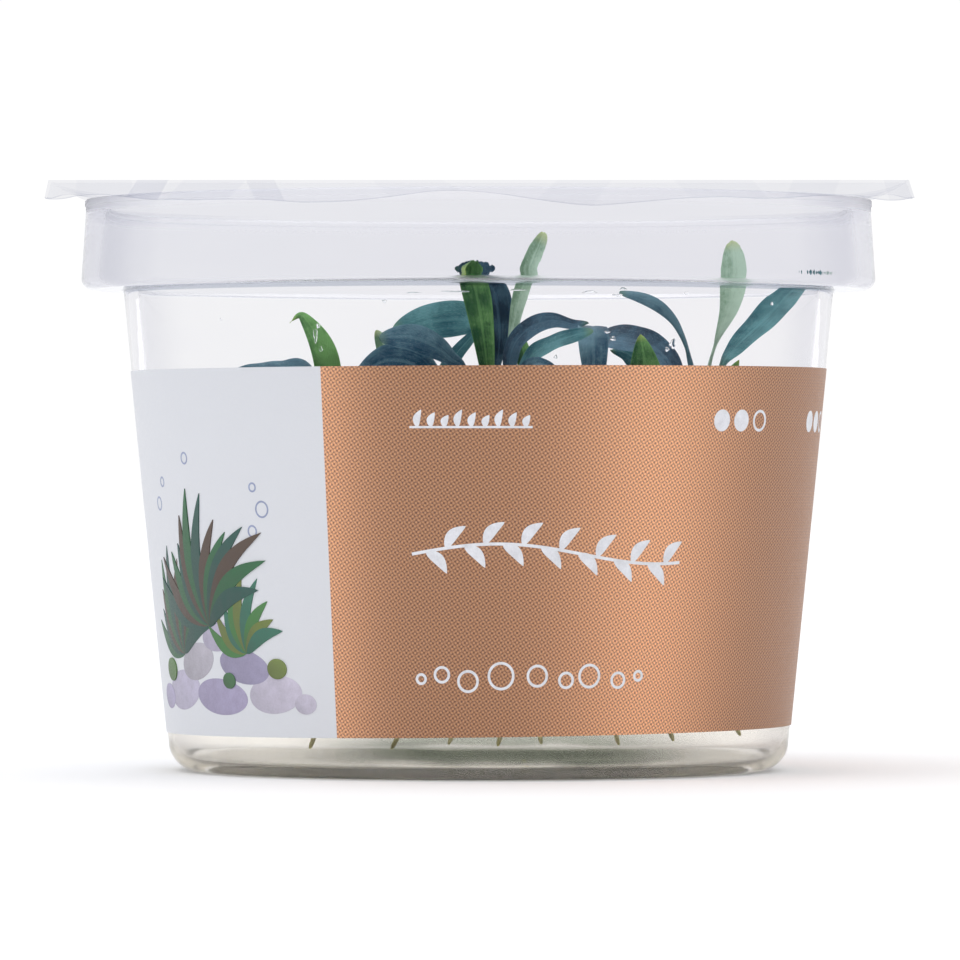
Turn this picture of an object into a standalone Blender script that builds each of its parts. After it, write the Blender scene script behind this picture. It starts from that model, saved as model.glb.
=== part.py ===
"""Bucephalandra plantlets in nutrient gel, inside a sealed and labelled plastic culture cup.

Run it with: blender --background --python part.py
The scene is in metres with +Z up. The origin is the centre of the cup's foot, and the front faces -Y.
Sizes below are in millimetres and are turned into metres when a mesh is made.
"""

import math
from collections import namedtuple

import bmesh
import bpy
import numpy as np

MM = 0.001
GAP = 0.3  # clearance between pieces that touch on the real object

# Cup
FOOT_R = 31.6
FOOT_RING = 1.6
FOOT_RECESS = 0.4
BASE_R = 34.85
BASE_CORNER_H = 3.3
LEDGE_Z = 53.95
LEDGE_R = 39.9
LEDGE_T = 0.6
COLLAR_BOTTOM_R = 44.6
COLLAR_TOP_R = 44.1
COLLAR_CORNER = 1.2
COLLAR_WALL = 1.8
RIM_Z = 64.0
RIM_LAND = 2.5
BODY_WALL = 1.5
FLOOR_T = 1.0
TURNED_STEPS = 52

# Seal film
FILM_T = 0.3
FILM_SEAL_R = 44.7
FILM_FOLD_R = 48.3
FILM_EDGE_R = 48.85
FILM_LIFT = 1.8
FILM_SKIRT = 2.0
FILM_BACK_SKIRT = 0.5
FILM_RUFFLE = 0.7

# Label
LABEL_BOTTOM = 4.75
LABEL_TOP = 44.95
LABEL_TILT_BOTTOM = 0.4
LABEL_TILT_TOP = 0.15
LABEL_T = 0.2
LABEL_REACH = math.radians(166)

# Gel
GEL_TOP = 14.0
GEL_CORNER = 2.4

# Plantlets
RHIZOME_FOOT_Z = 7.0
RHIZOME_R = 1.0
ROOT_START_Z = 10.5
ROOT_R = 0.4
STALK_R = 0.36
BLADE_HALF_T = 0.24
NECK = 0.18
STATIONS = (0.0, 0.12, 0.25, 0.4, 0.56, 0.72, 0.87, 0.97)

Plantlet = namedtuple("Plantlet", "foot top roots")
Leaf = namedtuple("Leaf", "plantlet height width fullest face colour points")

# foot is x, y where the rhizome stands in the gel; top is its growing tip; roots are root tips.
PLANTLETS = {
    "a": Plantlet((0.5, -10.0), (1.6, -13.0, 40.0), ((-3.2, -31.2, 4.0), (-2.5, 2.0, 4.0))),
    "b": Plantlet((22.0, -5.0), (25.4, -8.0, 41.0), ((28.6, -13.6, 4.4), (29.0, 6.0, 5.0))),
    "c": Plantlet((-4.0, -17.0), (-3.2, -19.5, 39.5), ((-9.4, -29.6, 3.4),)),
    "d": Plantlet((-14.5, -13.0), (-16.6, -16.8, 40.0), ((-18.3, -25.6, 3.3), (-27.5, -9.0, 4.5))),
    "e": Plantlet((-11.0, -6.0), (-10.8, -10.5, 39.0), ((-22.0, 0.0, 4.6),)),
    "f": Plantlet((11.0, -9.0), (13.2, -11.5, 40.0), ((15.2, -27.2, 3.8), (12.0, 4.0, 4.2))),
    "g": Plantlet((-12.0, 8.0), (-14.5, 11.0, 33.0), ((-20.0, 20.0, 4.0), (-2.0, 14.0, 3.6))),
    "h": Plantlet((9.0, 13.0), (10.0, 16.0, 34.0), ((18.0, 24.0, 4.0), (5.0, 27.0, 3.8))),
    "j": Plantlet((4.0, -17.5), (5.0, -20.8, 39.0), ((2.1, -31.2, 3.8), (6.8, -30.4, 4.0))),
    "k": Plantlet((16.0, -15.0), (19.6, -18.6, 40.0), ((21.2, -23.6, 4.1),)),
}

# height is where the stalk leaves the rhizome, fullest is how far along the blade it is widest, face is the
# way the blade's upper side looks, and points are x, y, z after the stalk's foot, the last of them the tip.
LEAVES = {
    "leaf_a1": Leaf("a", 38.6, 3.1, 0.58, (0.1, -1, 0.1), "green",
                    ((1.2, -18.6, 42.5), (0.7, -20.2, 47.0), (0.2, -20.4, 50.6), (-0.4, -20.4, 53.8),
                     (-1.0, -21.2, 55.7), (-1.5, -22.8, 56.1), (-1.9, -24.2, 55.3))),
    "leaf_a2": Leaf("a", 39.2, 3.2, 0.62, (0.1, -1, 0.1), "navy",
                    ((2.2, -12.8, 44.0), (2.3, -13.2, 49.0), (1.9, -13.6, 52.6), (0.9, -14.0, 55.0),
                     (-0.8, -14.4, 56.0), (-2.9, -14.8, 55.7))),
    "leaf_a3": Leaf("a", 37.2, 2.5, 0.72, (-0.8, -1, 0), "sage",
                    ((3.3, -16.6, 43.4), (3.7, -17.2, 48.2), (4.8, -18.0, 53.4), (6.0, -19.0, 57.0),
                     (7.3, -20.0, 60.0))),
    "leaf_a4": Leaf("a", 36.4, 4.0, 0.72, (0.1, -1, 0.4), "teal",
                    ((3.2, -10.0, 44.0), (3.0, -9.2, 48.0), (1.4, -8.8, 50.0), (-1.6, -8.8, 50.5),
                     (-5.0, -9.2, 50.2), (-9.6, -9.8, 49.0))),
    "leaf_j1": Leaf("j", 38.0, 2.5, 0.55, (-0.3, -0.9, 0.6), "navy",
                    ((3.4, -23.0, 43.6), (3.9, -24.0, 47.2), (5.8, -24.6, 49.3), (8.2, -24.4, 50.0),
                     (10.4, -24.0, 49.6), (12.0, -25.2, 49.8))),
    "leaf_j2": Leaf("j", 37.2, 2.6, 0.55, (-0.3, -0.9, 0.7), "teal",
                    ((4.6, -26.5, 43.2), (5.8, -28.4, 46.0), (8.0, -30.0, 47.4), (10.2, -31.0, 48.2),
                     (12.4, -31.6, 48.8))),
    "leaf_j3": Leaf("j", 38.4, 1.8, 0.45, (0, -1, 0), "green",
                    ((5.6, -17.6, 43.0), (5.0, -16.6, 46.6), (4.3, -16.0, 49.6))),
    "leaf_j4": Leaf("j", 35.4, 2.6, 0.45, (0, -0.8, 0.8), "slate",
                    ((4.2, -28.0, 40.4), (5.4, -30.6, 44.6), (7.4, -32.0, 45.0), (9.0, -32.6, 43.4))),
    "leaf_c1": Leaf("c", 38.2, 2.9, 0.68, (-0.2, -1, 0.4), "slate",
                    ((-1.6, -24.2, 44.2), (-3.2, -26.0, 46.0), (-5.1, -27.0, 47.3), (-7.4, -27.4, 48.1),
                     (-10.8, -27.6, 48.1))),
    "leaf_c2": Leaf("c", 37.0, 3.8, 0.5, (-0.1, -1, 0.4), "slate",
                    ((-5.0, -21.4, 42.8), (-6.8, -21.8, 45.0), (-9.0, -21.8, 45.7), (-11.2, -21.6, 45.2),
                     (-14.2, -21.4, 42.6))),
    "leaf_c3": Leaf("c", 38.6, 1.9, 0.5, (0, -1, 0.2), "teal",
                    ((-4.2, -16.6, 43.0), (-2.8, -15.2, 46.0), (-1.2, -14.8, 48.0), (0.0, -15.0, 49.2))),
    "leaf_d1": Leaf("d", 38.0, 3.0, 0.34, (0.1, -1, 0.1), "green",
                    ((-16.2, -25.6, 42.2), (-16.5, -27.6, 45.4), (-17.2, -28.0, 47.6), (-18.4, -27.6, 49.6),
                     (-19.4, -27.0, 50.6), (-20.5, -26.6, 49.8))),
    "leaf_d2": Leaf("d", 38.6, 2.8, 0.45, (0.1, -0.6, 1), "slate",
                    ((-18.4, -19.6, 44.3), (-21.6, -20.4, 44.9), (-24.4, -20.8, 44.9), (-27.0, -21.0, 44.7))),
    "leaf_e1": Leaf("e", 38.0, 2.3, 0.5, (0, -1, 0), "sage",
                    ((-9.6, -13.6, 43.6), (-10.1, -14.0, 46.6), (-11.3, -14.2, 49.2))),
    "leaf_f1": Leaf("f", 38.6, 3.1, 0.62, (0, -1, 0.35), "slate",
                    ((12.7, -14.6, 44.6), (12.6, -18.0, 48.4), (12.5, -23.6, 49.3), (12.5, -27.8, 47.4),
                     (12.6, -30.2, 43.6), (12.8, -30.8, 40.0))),
    "leaf_f2": Leaf("f", 38.0, 4.2, 0.5, (0.1, -0.9, 0.55), "navy",
                    ((12.2, -7.8, 44.8), (13.6, -9.6, 48.0), (17.2, -13.6, 48.0), (20.4, -17.4, 46.3),
                     (22.2, -20.4, 42.8))),
    "leaf_f3": Leaf("f", 37.2, 2.7, 0.45, (0, -1, 0.5), "teal",
                    ((18.4, -8.6, 43.6), (17.0, -7.6, 46.4), (14.7, -6.8, 47.1))),
    "leaf_k1": Leaf("k", 37.2, 4.2, 0.5, (0, -1, 0.1), "green",
                    ((18.6, -27.2, 41.2), (18.2, -28.8, 43.8), (17.9, -28.8, 46.2), (17.6, -28.2, 48.5))),
    "leaf_k2": Leaf("k", 38.8, 1.4, 0.76, (-0.2, -0.8, 0.6), "slate",
                    ((23.0, -24.4, 43.6), (22.9, -25.2, 46.2), (22.1, -26.2, 48.5), (20.9, -27.2, 50.4),
                     (18.7, -28.8, 52.0), (15.3, -30.4, 53.0))),
    "leaf_b1": Leaf("b", 39.6, 2.8, 0.78, (0, -1, 0), "sage",
                    ((25.4, -13.0, 44.4), (26.3, -14.0, 48.0), (27.7, -14.2, 51.8), (28.2, -14.0, 55.6),
                     (28.1, -13.6, 59.3))),
    "leaf_b2": Leaf("b", 38.6, 3.7, 0.62, (0.1, -0.5, 1), "teal",
                    ((26.9, -9.0, 44.6), (28.6, -6.6, 47.2), (31.4, -3.6, 49.9), (34.0, -1.4, 52.5),
                     (36.6, 0.2, 55.1), (40.2, 0.6, 55.8))),
    "leaf_b3": Leaf("b", 37.8, 1.4, 0.45, (0, -1, 0.4), "green",
                    ((27.6, -11.6, 43.4), (28.8, -12.6, 45.9))),
    "leaf_a5": Leaf("a", 35.0, 2.6, 0.45, (0.1, -0.4, 1), "teal",
                    ((-1.2, -9.4, 39.5), (-2.2, -4.6, 43.0), (-2.6, 0.4, 44.4), (-2.6, 4.0, 43.6))),
    "leaf_c4": Leaf("c", 33.0, 2.8, 0.45, (-0.2, -0.3, 1), "teal",
                    ((-6.0, -23.5, 36.5), (-9.5, -26.6, 39.2), (-13.0, -28.8, 40.8))),
    "leaf_d3": Leaf("d", 36.0, 2.8, 0.45, (-0.2, 0.2, 1), "teal",
                    ((-20.5, -14.0, 39.5), (-24.5, -11.0, 42.4), (-27.6, -8.4, 43.4))),
    "leaf_d4": Leaf("d", 33.0, 2.8, 0.45, (-0.5, -0.5, 1), "slate",
                    ((-19.8, -20.2, 36.5), (-22.4, -22.6, 39.4), (-24.0, -24.0, 41.2))),
    "leaf_e2": Leaf("e", 37.0, 2.6, 0.45, (-0.3, 0.2, 1), "slate",
                    ((-14.2, -7.4, 41.0), (-18.0, -4.6, 43.8), (-21.5, -2.6, 44.4), (-24.5, -1.5, 43.2))),
    "leaf_e3": Leaf("e", 36.0, 2.8, 0.45, (0.2, 0.3, 1), "teal",
                    ((-10.2, -6.0, 40.5), (-9.0, -1.0, 43.6), (-7.6, 3.5, 44.0), (-6.8, 6.5, 42.5))),
    "leaf_f4": Leaf("f", 35.5, 2.8, 0.45, (0.3, 0.2, 1), "teal",
                    ((16.6, -7.6, 39.2), (20.0, -2.5, 42.6), (22.5, 1.5, 44.2), (24.0, 5.0, 44.0))),
    "leaf_f5": Leaf("f", 34.0, 2.6, 0.45, (-0.2, 0.2, 1), "slate",
                    ((9.5, -8.0, 38.0), (6.4, -4.4, 41.8), (4.4, -0.8, 43.8), (3.4, 2.6, 44.0))),
    "leaf_b4": Leaf("b", 36.0, 2.8, 0.45, (0.3, 0.2, 1), "slate",
                    ((27.5, -3.8, 40.0), (28.5, 1.0, 43.4), (28.6, 6.0, 44.8), (27.6, 10.5, 44.0))),
    "leaf_b5": Leaf("b", 34.0, 2.4, 0.45, (-0.4, 0.3, 1), "green",
                    ((29.0, -10.4, 37.2), (31.3, -12.2, 40.2), (32.2, -13.0, 42.6))),
    "leaf_k3": Leaf("k", 34.0, 2.6, 0.45, (-0.3, -0.3, 1), "teal",
                    ((22.4, -21.4, 37.0), (24.4, -23.2, 40.0), (25.4, -24.0, 42.2))),
    "leaf_g1": Leaf("g", 31.5, 2.9, 0.45, (-0.5, 0.3, 1), "teal",
                    ((-18.0, 13.5, 36.0), (-21.5, 16.0, 40.5), (-24.0, 17.5, 44.0))),
    "leaf_g2": Leaf("g", 32.2, 2.4, 0.45, (0, -1, 0.3), "green",
                    ((-14.0, 14.5, 37.5), (-13.0, 17.0, 41.5), (-12.4, 18.6, 44.8))),
    "leaf_g3": Leaf("g", 31.0, 2.8, 0.45, (0, 0, 1), "slate",
                    ((-10.5, 12.0, 35.5), (-6.5, 13.0, 39.5), (-3.0, 13.5, 42.0), (0.0, 13.5, 42.5))),
    "leaf_g4": Leaf("g", 30.2, 3.0, 0.45, (-0.2, 0, 1), "teal",
                    ((-18.5, 8.5, 34.0), (-23.0, 6.5, 37.0), (-27.5, 5.0, 38.5), (-30.5, 4.5, 38.0))),
    "leaf_g5": Leaf("g", 29.4, 2.6, 0.45, (0, 0.2, 1), "slate",
                    ((-12.8, 6.6, 33.5), (-11.6, 2.8, 37.0), (-11.2, -0.6, 38.8))),
    "leaf_g6": Leaf("g", 28.4, 2.8, 0.45, (0, -0.2, 1), "teal",
                    ((-15.6, 15.5, 32.0), (-17.0, 20.0, 35.0), (-18.0, 24.0, 37.0), (-18.5, 26.5, 37.4))),
    "leaf_h1": Leaf("h", 32.4, 2.9, 0.45, (0.4, 0.3, 1), "teal",
                    ((13.5, 18.5, 37.0), (16.5, 21.5, 41.0), (18.5, 23.5, 44.2))),
    "leaf_h2": Leaf("h", 33.2, 2.4, 0.45, (0, -1, 0.3), "green",
                    ((9.5, 19.5, 38.0), (8.5, 22.0, 42.0), (7.6, 23.5, 45.0))),
    "leaf_h3": Leaf("h", 31.6, 2.8, 0.45, (0, 0, 1), "slate",
                    ((6.0, 17.5, 35.5), (1.5, 18.5, 39.0), (-2.5, 19.5, 41.0), (-5.5, 20.0, 41.0))),
    "leaf_h4": Leaf("h", 31.0, 2.9, 0.45, (0.2, 0, 1), "teal",
                    ((14.0, 15.0, 35.0), (18.5, 13.5, 38.5), (22.5, 12.0, 40.5), (25.5, 11.0, 40.5))),
    "leaf_h5": Leaf("h", 30.2, 2.7, 0.45, (0, 0.2, 1), "slate",
                    ((10.6, 11.8, 34.0), (11.6, 7.0, 37.5), (12.8, 3.0, 39.5), (13.4, 0.0, 39.5))),
    "leaf_h6": Leaf("h", 29.2, 2.8, 0.45, (0, -0.2, 1), "teal",
                    ((10.5, 20.5, 32.0), (11.0, 25.0, 35.5), (11.0, 28.5, 38.0), (11.0, 30.5, 38.5))),
}

COLOURS = {
    "green": (0.12, 0.30, 0.06),
    "sage": (0.30, 0.42, 0.26),
    "teal": (0.035, 0.14, 0.15),
    "slate": (0.06, 0.13, 0.20),
    "navy": (0.02, 0.06, 0.10),
}


def clear_scene():
    for obj in list(bpy.data.objects):
        bpy.data.objects.remove(obj)


def material(name, colour, roughness=0.5, transmission=0.0, ior=1.45):
    found = bpy.data.materials.get(name)
    if found:
        return found
    made = bpy.data.materials.new(name)
    made.use_nodes = True
    shader = made.node_tree.nodes["Principled BSDF"]
    shader.inputs["Base Color"].default_value = (*colour, 1.0)
    shader.inputs["Roughness"].default_value = roughness
    shader.inputs["Metallic"].default_value = 0.0
    shader.inputs["Transmission Weight"].default_value = transmission
    shader.inputs["IOR"].default_value = ior
    return made


def mesh_object(name, points, faces, surface, sharp_degrees=40):
    """Makes an object from points in millimetres, with its faces turned outwards."""
    mesh = bpy.data.meshes.new(name)
    mesh.from_pydata([tuple(point) for point in np.asarray(points) * MM], [], faces)
    work = bmesh.new()
    work.from_mesh(mesh)
    bmesh.ops.recalc_face_normals(work, faces=work.faces)
    work.to_mesh(mesh)
    work.free()
    mesh.shade_smooth()
    mesh.set_sharp_from_angle(angle=math.radians(sharp_degrees))
    mesh.materials.append(surface)
    obj = bpy.data.objects.new(name, mesh)
    bpy.context.collection.objects.link(obj)
    return obj


def ringed_object(name, rings, surface, start=None, end=None):
    """Skins a row of equal rings and closes each end with a fan to a point, the ring's middle if none is given."""
    rings = np.asarray(rings, float)
    count, sides = rings.shape[:2]
    start = rings[0].mean(axis=0) if start is None else start
    end = rings[-1].mean(axis=0) if end is None else end
    points = np.vstack([rings.reshape(-1, 3), start, end])
    first, last = len(points) - 2, len(points) - 1
    faces = []
    for side in range(sides):
        after = (side + 1) % sides
        for ring in range(count - 1):
            a, b = ring * sides, (ring + 1) * sides
            faces.append((a + side, a + after, b + after, b + side))
        faces.append((first, after, side))
        faces.append((last, (count - 1) * sides + side, (count - 1) * sides + after))
    return mesh_object(name, points, faces, surface)


def turned_object(name, profile, surface):
    """Turns a profile of (radius, height) pairs, which starts and ends on the Z axis, about that axis."""
    mesh = bpy.data.meshes.new(name)
    points = [(radius * MM, 0.0, height * MM) for radius, height in profile]
    mesh.from_pydata(points, [(i, i + 1) for i in range(len(points) - 1)], [])
    mesh.materials.append(surface)
    obj = bpy.data.objects.new(name, mesh)
    bpy.context.collection.objects.link(obj)
    screw = obj.modifiers.new("turn", "SCREW")
    screw.axis = "Z"
    screw.steps = screw.render_steps = TURNED_STEPS
    screw.use_merge_vertices = True
    screw.merge_threshold = 0.00001
    return obj


def wall_radius(height):
    """Outer radius of the tapered body at a height."""
    return BASE_R + (LEDGE_R - BASE_R) * (height - BASE_CORNER_H) / (LEDGE_Z - BASE_CORNER_H)


def quarter_turn(start, end, steps, bulge_first):
    """Points of an elliptical quarter from start to end, leaving along the radius if bulge_first is set."""
    found = []
    for step in range(steps + 1):
        turn = 0.5 * math.pi * step / steps
        along, across = math.sin(turn), 1 - math.cos(turn)
        if not bulge_first:
            along, across = across, along
        found.append((start[0] + (end[0] - start[0]) * along, start[1] + (end[1] - start[1]) * across))
    return found


def cup_profile():
    """The cup's section, from the middle of its floor over the rim and down to the middle of its underside."""
    floor = FOOT_RECESS + FLOOR_T
    inner_base = wall_radius(floor + BASE_CORNER_H) - BODY_WALL
    inner_ledge = LEDGE_Z + LEDGE_T
    rim_r = COLLAR_TOP_R + 0.1
    inside = [(0, floor)]
    inside += quarter_turn((inner_base - 2.6, floor), (inner_base, floor + BASE_CORNER_H - 0.6), 2, True)
    inside += [
        (LEDGE_R - BODY_WALL - 0.05, inner_ledge - 0.8),
        (LEDGE_R - BODY_WALL + 0.5, inner_ledge),
        (COLLAR_BOTTOM_R - COLLAR_WALL - 0.7, inner_ledge + 0.1),
        (COLLAR_BOTTOM_R - COLLAR_WALL, inner_ledge + 0.8),
        (COLLAR_TOP_R - COLLAR_WALL - 0.1, RIM_Z - 1.4),
        (rim_r - RIM_LAND, RIM_Z - 0.7),
        (rim_r - RIM_LAND, RIM_Z),
    ]
    outside = [(rim_r, RIM_Z), (rim_r, RIM_Z - 0.7), (COLLAR_TOP_R, RIM_Z - 0.8)]
    outside += quarter_turn(
        (COLLAR_BOTTOM_R, LEDGE_Z + COLLAR_CORNER), (COLLAR_BOTTOM_R - COLLAR_CORNER, LEDGE_Z), 2, False
    )
    outside += [(LEDGE_R + 0.25, LEDGE_Z), (LEDGE_R, LEDGE_Z - 0.3)]
    corner = quarter_turn((FOOT_R, 0), (BASE_R, BASE_CORNER_H), 3, True)
    outside += corner[::-1]
    ring_in = FOOT_R - FOOT_RING
    outside += [(ring_in, 0), (ring_in - 0.4, FOOT_RECESS), (0, FOOT_RECESS)]
    return inside + outside


def film_rings(surface_steps):
    """Rings of the film: out along its top to the ruffled edge and back along its underside."""
    turn = np.linspace(0, 2 * np.pi, surface_steps, endpoint=False)
    top = RIM_Z + GAP + FILM_T
    lift = FILM_LIFT * (1 - np.abs(np.sin(turn)))
    waves = 0.7 * np.sin(7 * turn + 0.6) + 0.5 * np.sin(12 * turn + 2.1)
    ruffle = FILM_RUFFLE * waves * np.clip(-np.sin(turn), 0, 1)
    back = np.clip(np.sin(turn) / 0.35, 0, 1)
    skirt = FILM_SKIRT + (FILM_BACK_SKIRT - FILM_SKIRT) * back * back * (3 - 2 * back)
    sway = 0.12 * np.sin(5 * turn + 1.0)
    half_r = (FILM_SEAL_R + FILM_FOLD_R) / 2
    edge = top + lift - skirt + ruffle
    path = [
        (FILM_SEAL_R - 3.2, top), (FILM_SEAL_R, top), (half_r, top + 0.5 * lift),
        (FILM_FOLD_R, top + lift), (FILM_EDGE_R + sway, edge), (FILM_EDGE_R - FILM_T + sway, edge),
        (FILM_FOLD_R - FILM_T, top + lift - FILM_T), (half_r, top + 0.5 * lift - FILM_T),
        (FILM_SEAL_R, top - FILM_T), (FILM_SEAL_R - 3.2, top - FILM_T),
    ]
    return [
        np.column_stack([radius * np.cos(turn), radius * np.sin(turn), height + 0 * turn])
        for radius, height in path
    ]


def label_rings(steps):
    """Sections of the wrap from its left end round the front to its right end, leaning with the wall."""
    rings = []
    for turn in np.linspace(-LABEL_REACH, LABEL_REACH, steps + 1):
        across, depth = math.sin(turn), -math.cos(turn)
        low = LABEL_BOTTOM + LABEL_TILT_BOTTOM * across
        high = LABEL_TOP + LABEL_TILT_TOP * across
        section = []
        for height, out in ((low, GAP), (low, GAP + LABEL_T), (high, GAP + LABEL_T), (high, GAP)):
            radius = wall_radius(height) + out
            section.append((radius * across, radius * depth, height))
        rings.append(section)
    return rings


def gel_profile():
    """The gel's section, from the middle of its top to the middle of its underside."""
    floor = FOOT_RECESS + FLOOR_T + GAP
    shoulder = floor + GEL_CORNER + 0.4
    side = wall_radius(shoulder) - BODY_WALL - GAP - 0.1
    top_r = wall_radius(GEL_TOP) - BODY_WALL - GAP
    profile = [(0, GEL_TOP), (top_r, GEL_TOP)]
    profile += quarter_turn((side, shoulder), (side - GEL_CORNER - 0.4, floor), 2, False)
    return profile + [(0, floor)]


def smooth_path(points, count):
    """Catmull-Rom curve through the points, given at evenly spaced lengths."""
    points = np.asarray(points, float)
    ends = np.vstack([2 * points[0] - points[1], points, 2 * points[-1] - points[-2]])
    place = np.linspace(0, len(points) - 1 - 1e-9, 40 * len(points))
    first = place.astype(int)
    u = (place - first)[:, None]
    a, b, c, d = (ends[first + k] for k in range(4))
    fine = 0.5 * (2 * b + (c - a) * u + (2 * a - 5 * b + 4 * c - d) * u**2 + (3 * b - 3 * c + d - a) * u**3)
    lengths = np.append(0, np.cumsum(np.linalg.norm(np.diff(fine, axis=0), axis=1)))
    wanted = np.asarray(count) * lengths[-1]
    return np.column_stack([np.interp(wanted, lengths, fine[:, axis]) for axis in range(3)])


def unit(vectors):
    return vectors / np.linalg.norm(vectors, axis=-1, keepdims=True)


def path_frames(path, face):
    """Side and upward directions across a path: set by face at its middle and carried both ways without a twist."""
    along = unit(np.gradient(path, axis=0))
    side = np.zeros_like(along)
    middle = len(path) // 2
    side[middle] = unit(np.cross(along[middle], np.asarray(face, float)))
    for step, stop in ((1, len(path)), (-1, -1)):
        for here in range(middle + step, stop, step):
            carried = side[here - step]
            side[here] = unit(carried - along[here] * (carried @ along[here]))
    return side, np.cross(side, along)


def tube(name, path, radii, sides, surface):
    """A round rod along a path, with its own radius at each point and pointed end fans."""
    path, radii = np.asarray(path, float), np.asarray(radii, float)
    least_along = np.abs(path[-1] - path[0]).argmin()
    side, up = path_frames(path, np.eye(3)[least_along])
    turn = np.linspace(0, 2 * np.pi, sides, endpoint=False)
    rings = [
        point + radius * (np.outer(np.cos(turn), s) + np.outer(np.sin(turn), u))
        for point, radius, s, u in zip(path, radii, side, up)
    ]
    along = unit(np.gradient(path, axis=0))
    start = path[0] - 0.5 * radii[0] * along[0]
    end = path[-1] + 0.5 * radii[-1] * along[-1]
    return ringed_object(name, rings, surface, start, end)


def rhizome_axis(plantlet, height):
    """The point of a rhizome's axis at a height, on a straight line with a slight bow."""
    share = (height - RHIZOME_FOOT_Z) / (plantlet.top[2] - RHIZOME_FOOT_Z)
    bow = 0.8 * math.sin(math.pi * share)
    x = plantlet.foot[0] + (plantlet.top[0] - plantlet.foot[0]) * share + bow
    y = plantlet.foot[1] + (plantlet.top[1] - plantlet.foot[1]) * share - bow
    return np.array([x, y, height])


def rhizome_parts(name, plantlet, extra):
    """The rhizome rod and its root rods, all made extra thicker, as used for the plant and for its pocket."""
    surface = material("rhizome", (0.16, 0.20, 0.07), 0.6)
    tip_z = GEL_TOP + 2 if extra else plantlet.top[2]
    heights = np.linspace(RHIZOME_FOOT_Z, tip_z, 3 if extra else 7)
    path = np.array([rhizome_axis(plantlet, height) for height in heights])
    radii = RHIZOME_R * np.where(np.arange(len(heights)) % 2, 0.9, 1.1) if not extra else [RHIZOME_R * 1.1] * 3
    rods = [tube(name, path, np.asarray(radii) + 1.15 * extra, 6, surface)]
    for index, tip in enumerate(plantlet.roots):
        start = rhizome_axis(plantlet, ROOT_START_Z + 0.8 * index)
        tip = np.array(tip)
        bend = start + (tip - start) * np.array([0.55, 0.55, 0.3])
        reach = (0.0, 0.3, 0.65, 1.0)
        route = smooth_path([start, bend, tip], reach)
        rods.append(tube(f"{name}_root_{index + 1}", route, np.linspace(1, 0.6, 4) * ROOT_R + 1.25 * extra, 5, surface))
    return rods


def helper_collection(name, objects):
    """Moves helper objects to a collection of their own and keeps them out of the render."""
    group = bpy.data.collections.new(name)
    bpy.context.scene.collection.children.link(group)
    for obj in objects:
        bpy.context.collection.objects.unlink(obj)
        group.objects.link(obj)
        obj.hide_render = True
        obj.display_type = "WIRE"
    return group


def join_with(obj, operation, group):
    cut = obj.modifiers.new(operation.lower(), "BOOLEAN")
    cut.operation = operation
    cut.solver = "EXACT"
    cut.operand_type = "COLLECTION"
    cut.collection = group


def blade_half_width(share, leaf):
    """Half the width along a leaf: a thin stalk, then an oblong blade, slender below and blunt above."""
    u = np.clip((share - NECK) / (1 - NECK), 0, 1)
    skew = math.log(0.5) / math.log(leaf.fullest)
    power = np.where(u < leaf.fullest, 0.75, 1 - 0.8 * leaf.fullest)
    blade = 0.5 * leaf.width * np.sin(np.pi * u**skew) ** power
    return np.maximum(blade, np.where(share < NECK + 0.1, STALK_R, 0.1))


def leaf_path(leaf):
    """The leaf's middle line, from just outside its rhizome to its tip."""
    root = rhizome_axis(PLANTLETS[leaf.plantlet], leaf.height)
    out = np.array(leaf.points[0]) - root
    out[2] = 0
    start = root + unit(out) * (RHIZOME_R * 1.1 + GAP + STALK_R + 0.1)
    return smooth_path([start, *leaf.points], STATIONS)


def make_leaf(name, leaf):
    """A closed solid: four corners round the middle line at each station, edges lifted to a shallow channel."""
    surface = material("leaf_" + leaf.colour, COLOURS[leaf.colour], 0.45)
    path = leaf_path(leaf)
    side, up = path_frames(path, leaf.face)
    share = np.array(STATIONS)
    half = blade_half_width(share, leaf)[:, None]
    thick = np.where(share <= NECK, STALK_R, BLADE_HALF_T * (1.25 - 0.6 * share))[:, None]
    lift = 0.22 * np.clip(half - STALK_R, 0, None)
    rings = np.stack([
        path - side * half + up * lift,
        path + up * thick,
        path + side * half + up * lift,
        path - up * thick,
    ], axis=1)
    return ringed_object(name, rings, surface, end=np.array(leaf.points[-1]))


def make_vessel():
    clear = material("cup_plastic", (0.93, 0.94, 0.96), 0.12, 0.9, 1.49)
    turned_object("cup", cup_profile(), clear)
    ringed_object("seal_film", film_rings(TURNED_STEPS), material("film_plastic", (0.9, 0.9, 0.93), 0.3, 0.8, 1.4))
    ringed_object("label", label_rings(TURNED_STEPS), material("label_paper", (0.55, 0.27, 0.12), 0.45))


def make_plants():
    pockets = []
    for key, plantlet in PLANTLETS.items():
        rod, *roots = rhizome_parts("rhizome_" + key, plantlet, 0.0)
        join_with(rod, "UNION", helper_collection("roots_" + key, roots))
        pockets += rhizome_parts("pocket_" + key, plantlet, GAP)
    gel = turned_object("nutrient_gel", gel_profile(), material("gel", (0.93, 0.92, 0.82), 0.1, 0.9, 1.34))
    join_with(gel, "DIFFERENCE", helper_collection("gel_pockets", pockets))
    for name, leaf in LEAVES.items():
        make_leaf(name, leaf)


def main():
    clear_scene()
    make_vessel()
    make_plants()


if __name__ == "__main__":
    main()
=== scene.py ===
"""Looks of a sealed culture cup of Bucephalandra plantlets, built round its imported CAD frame.

The frame is in metres with +Z up. The origin is the centre of the cup's foot, and the front faces -Y.
Lengths in the tables and formulas below are in millimetres and become metres when a mesh is made.
"""

import math
from collections import namedtuple

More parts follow.
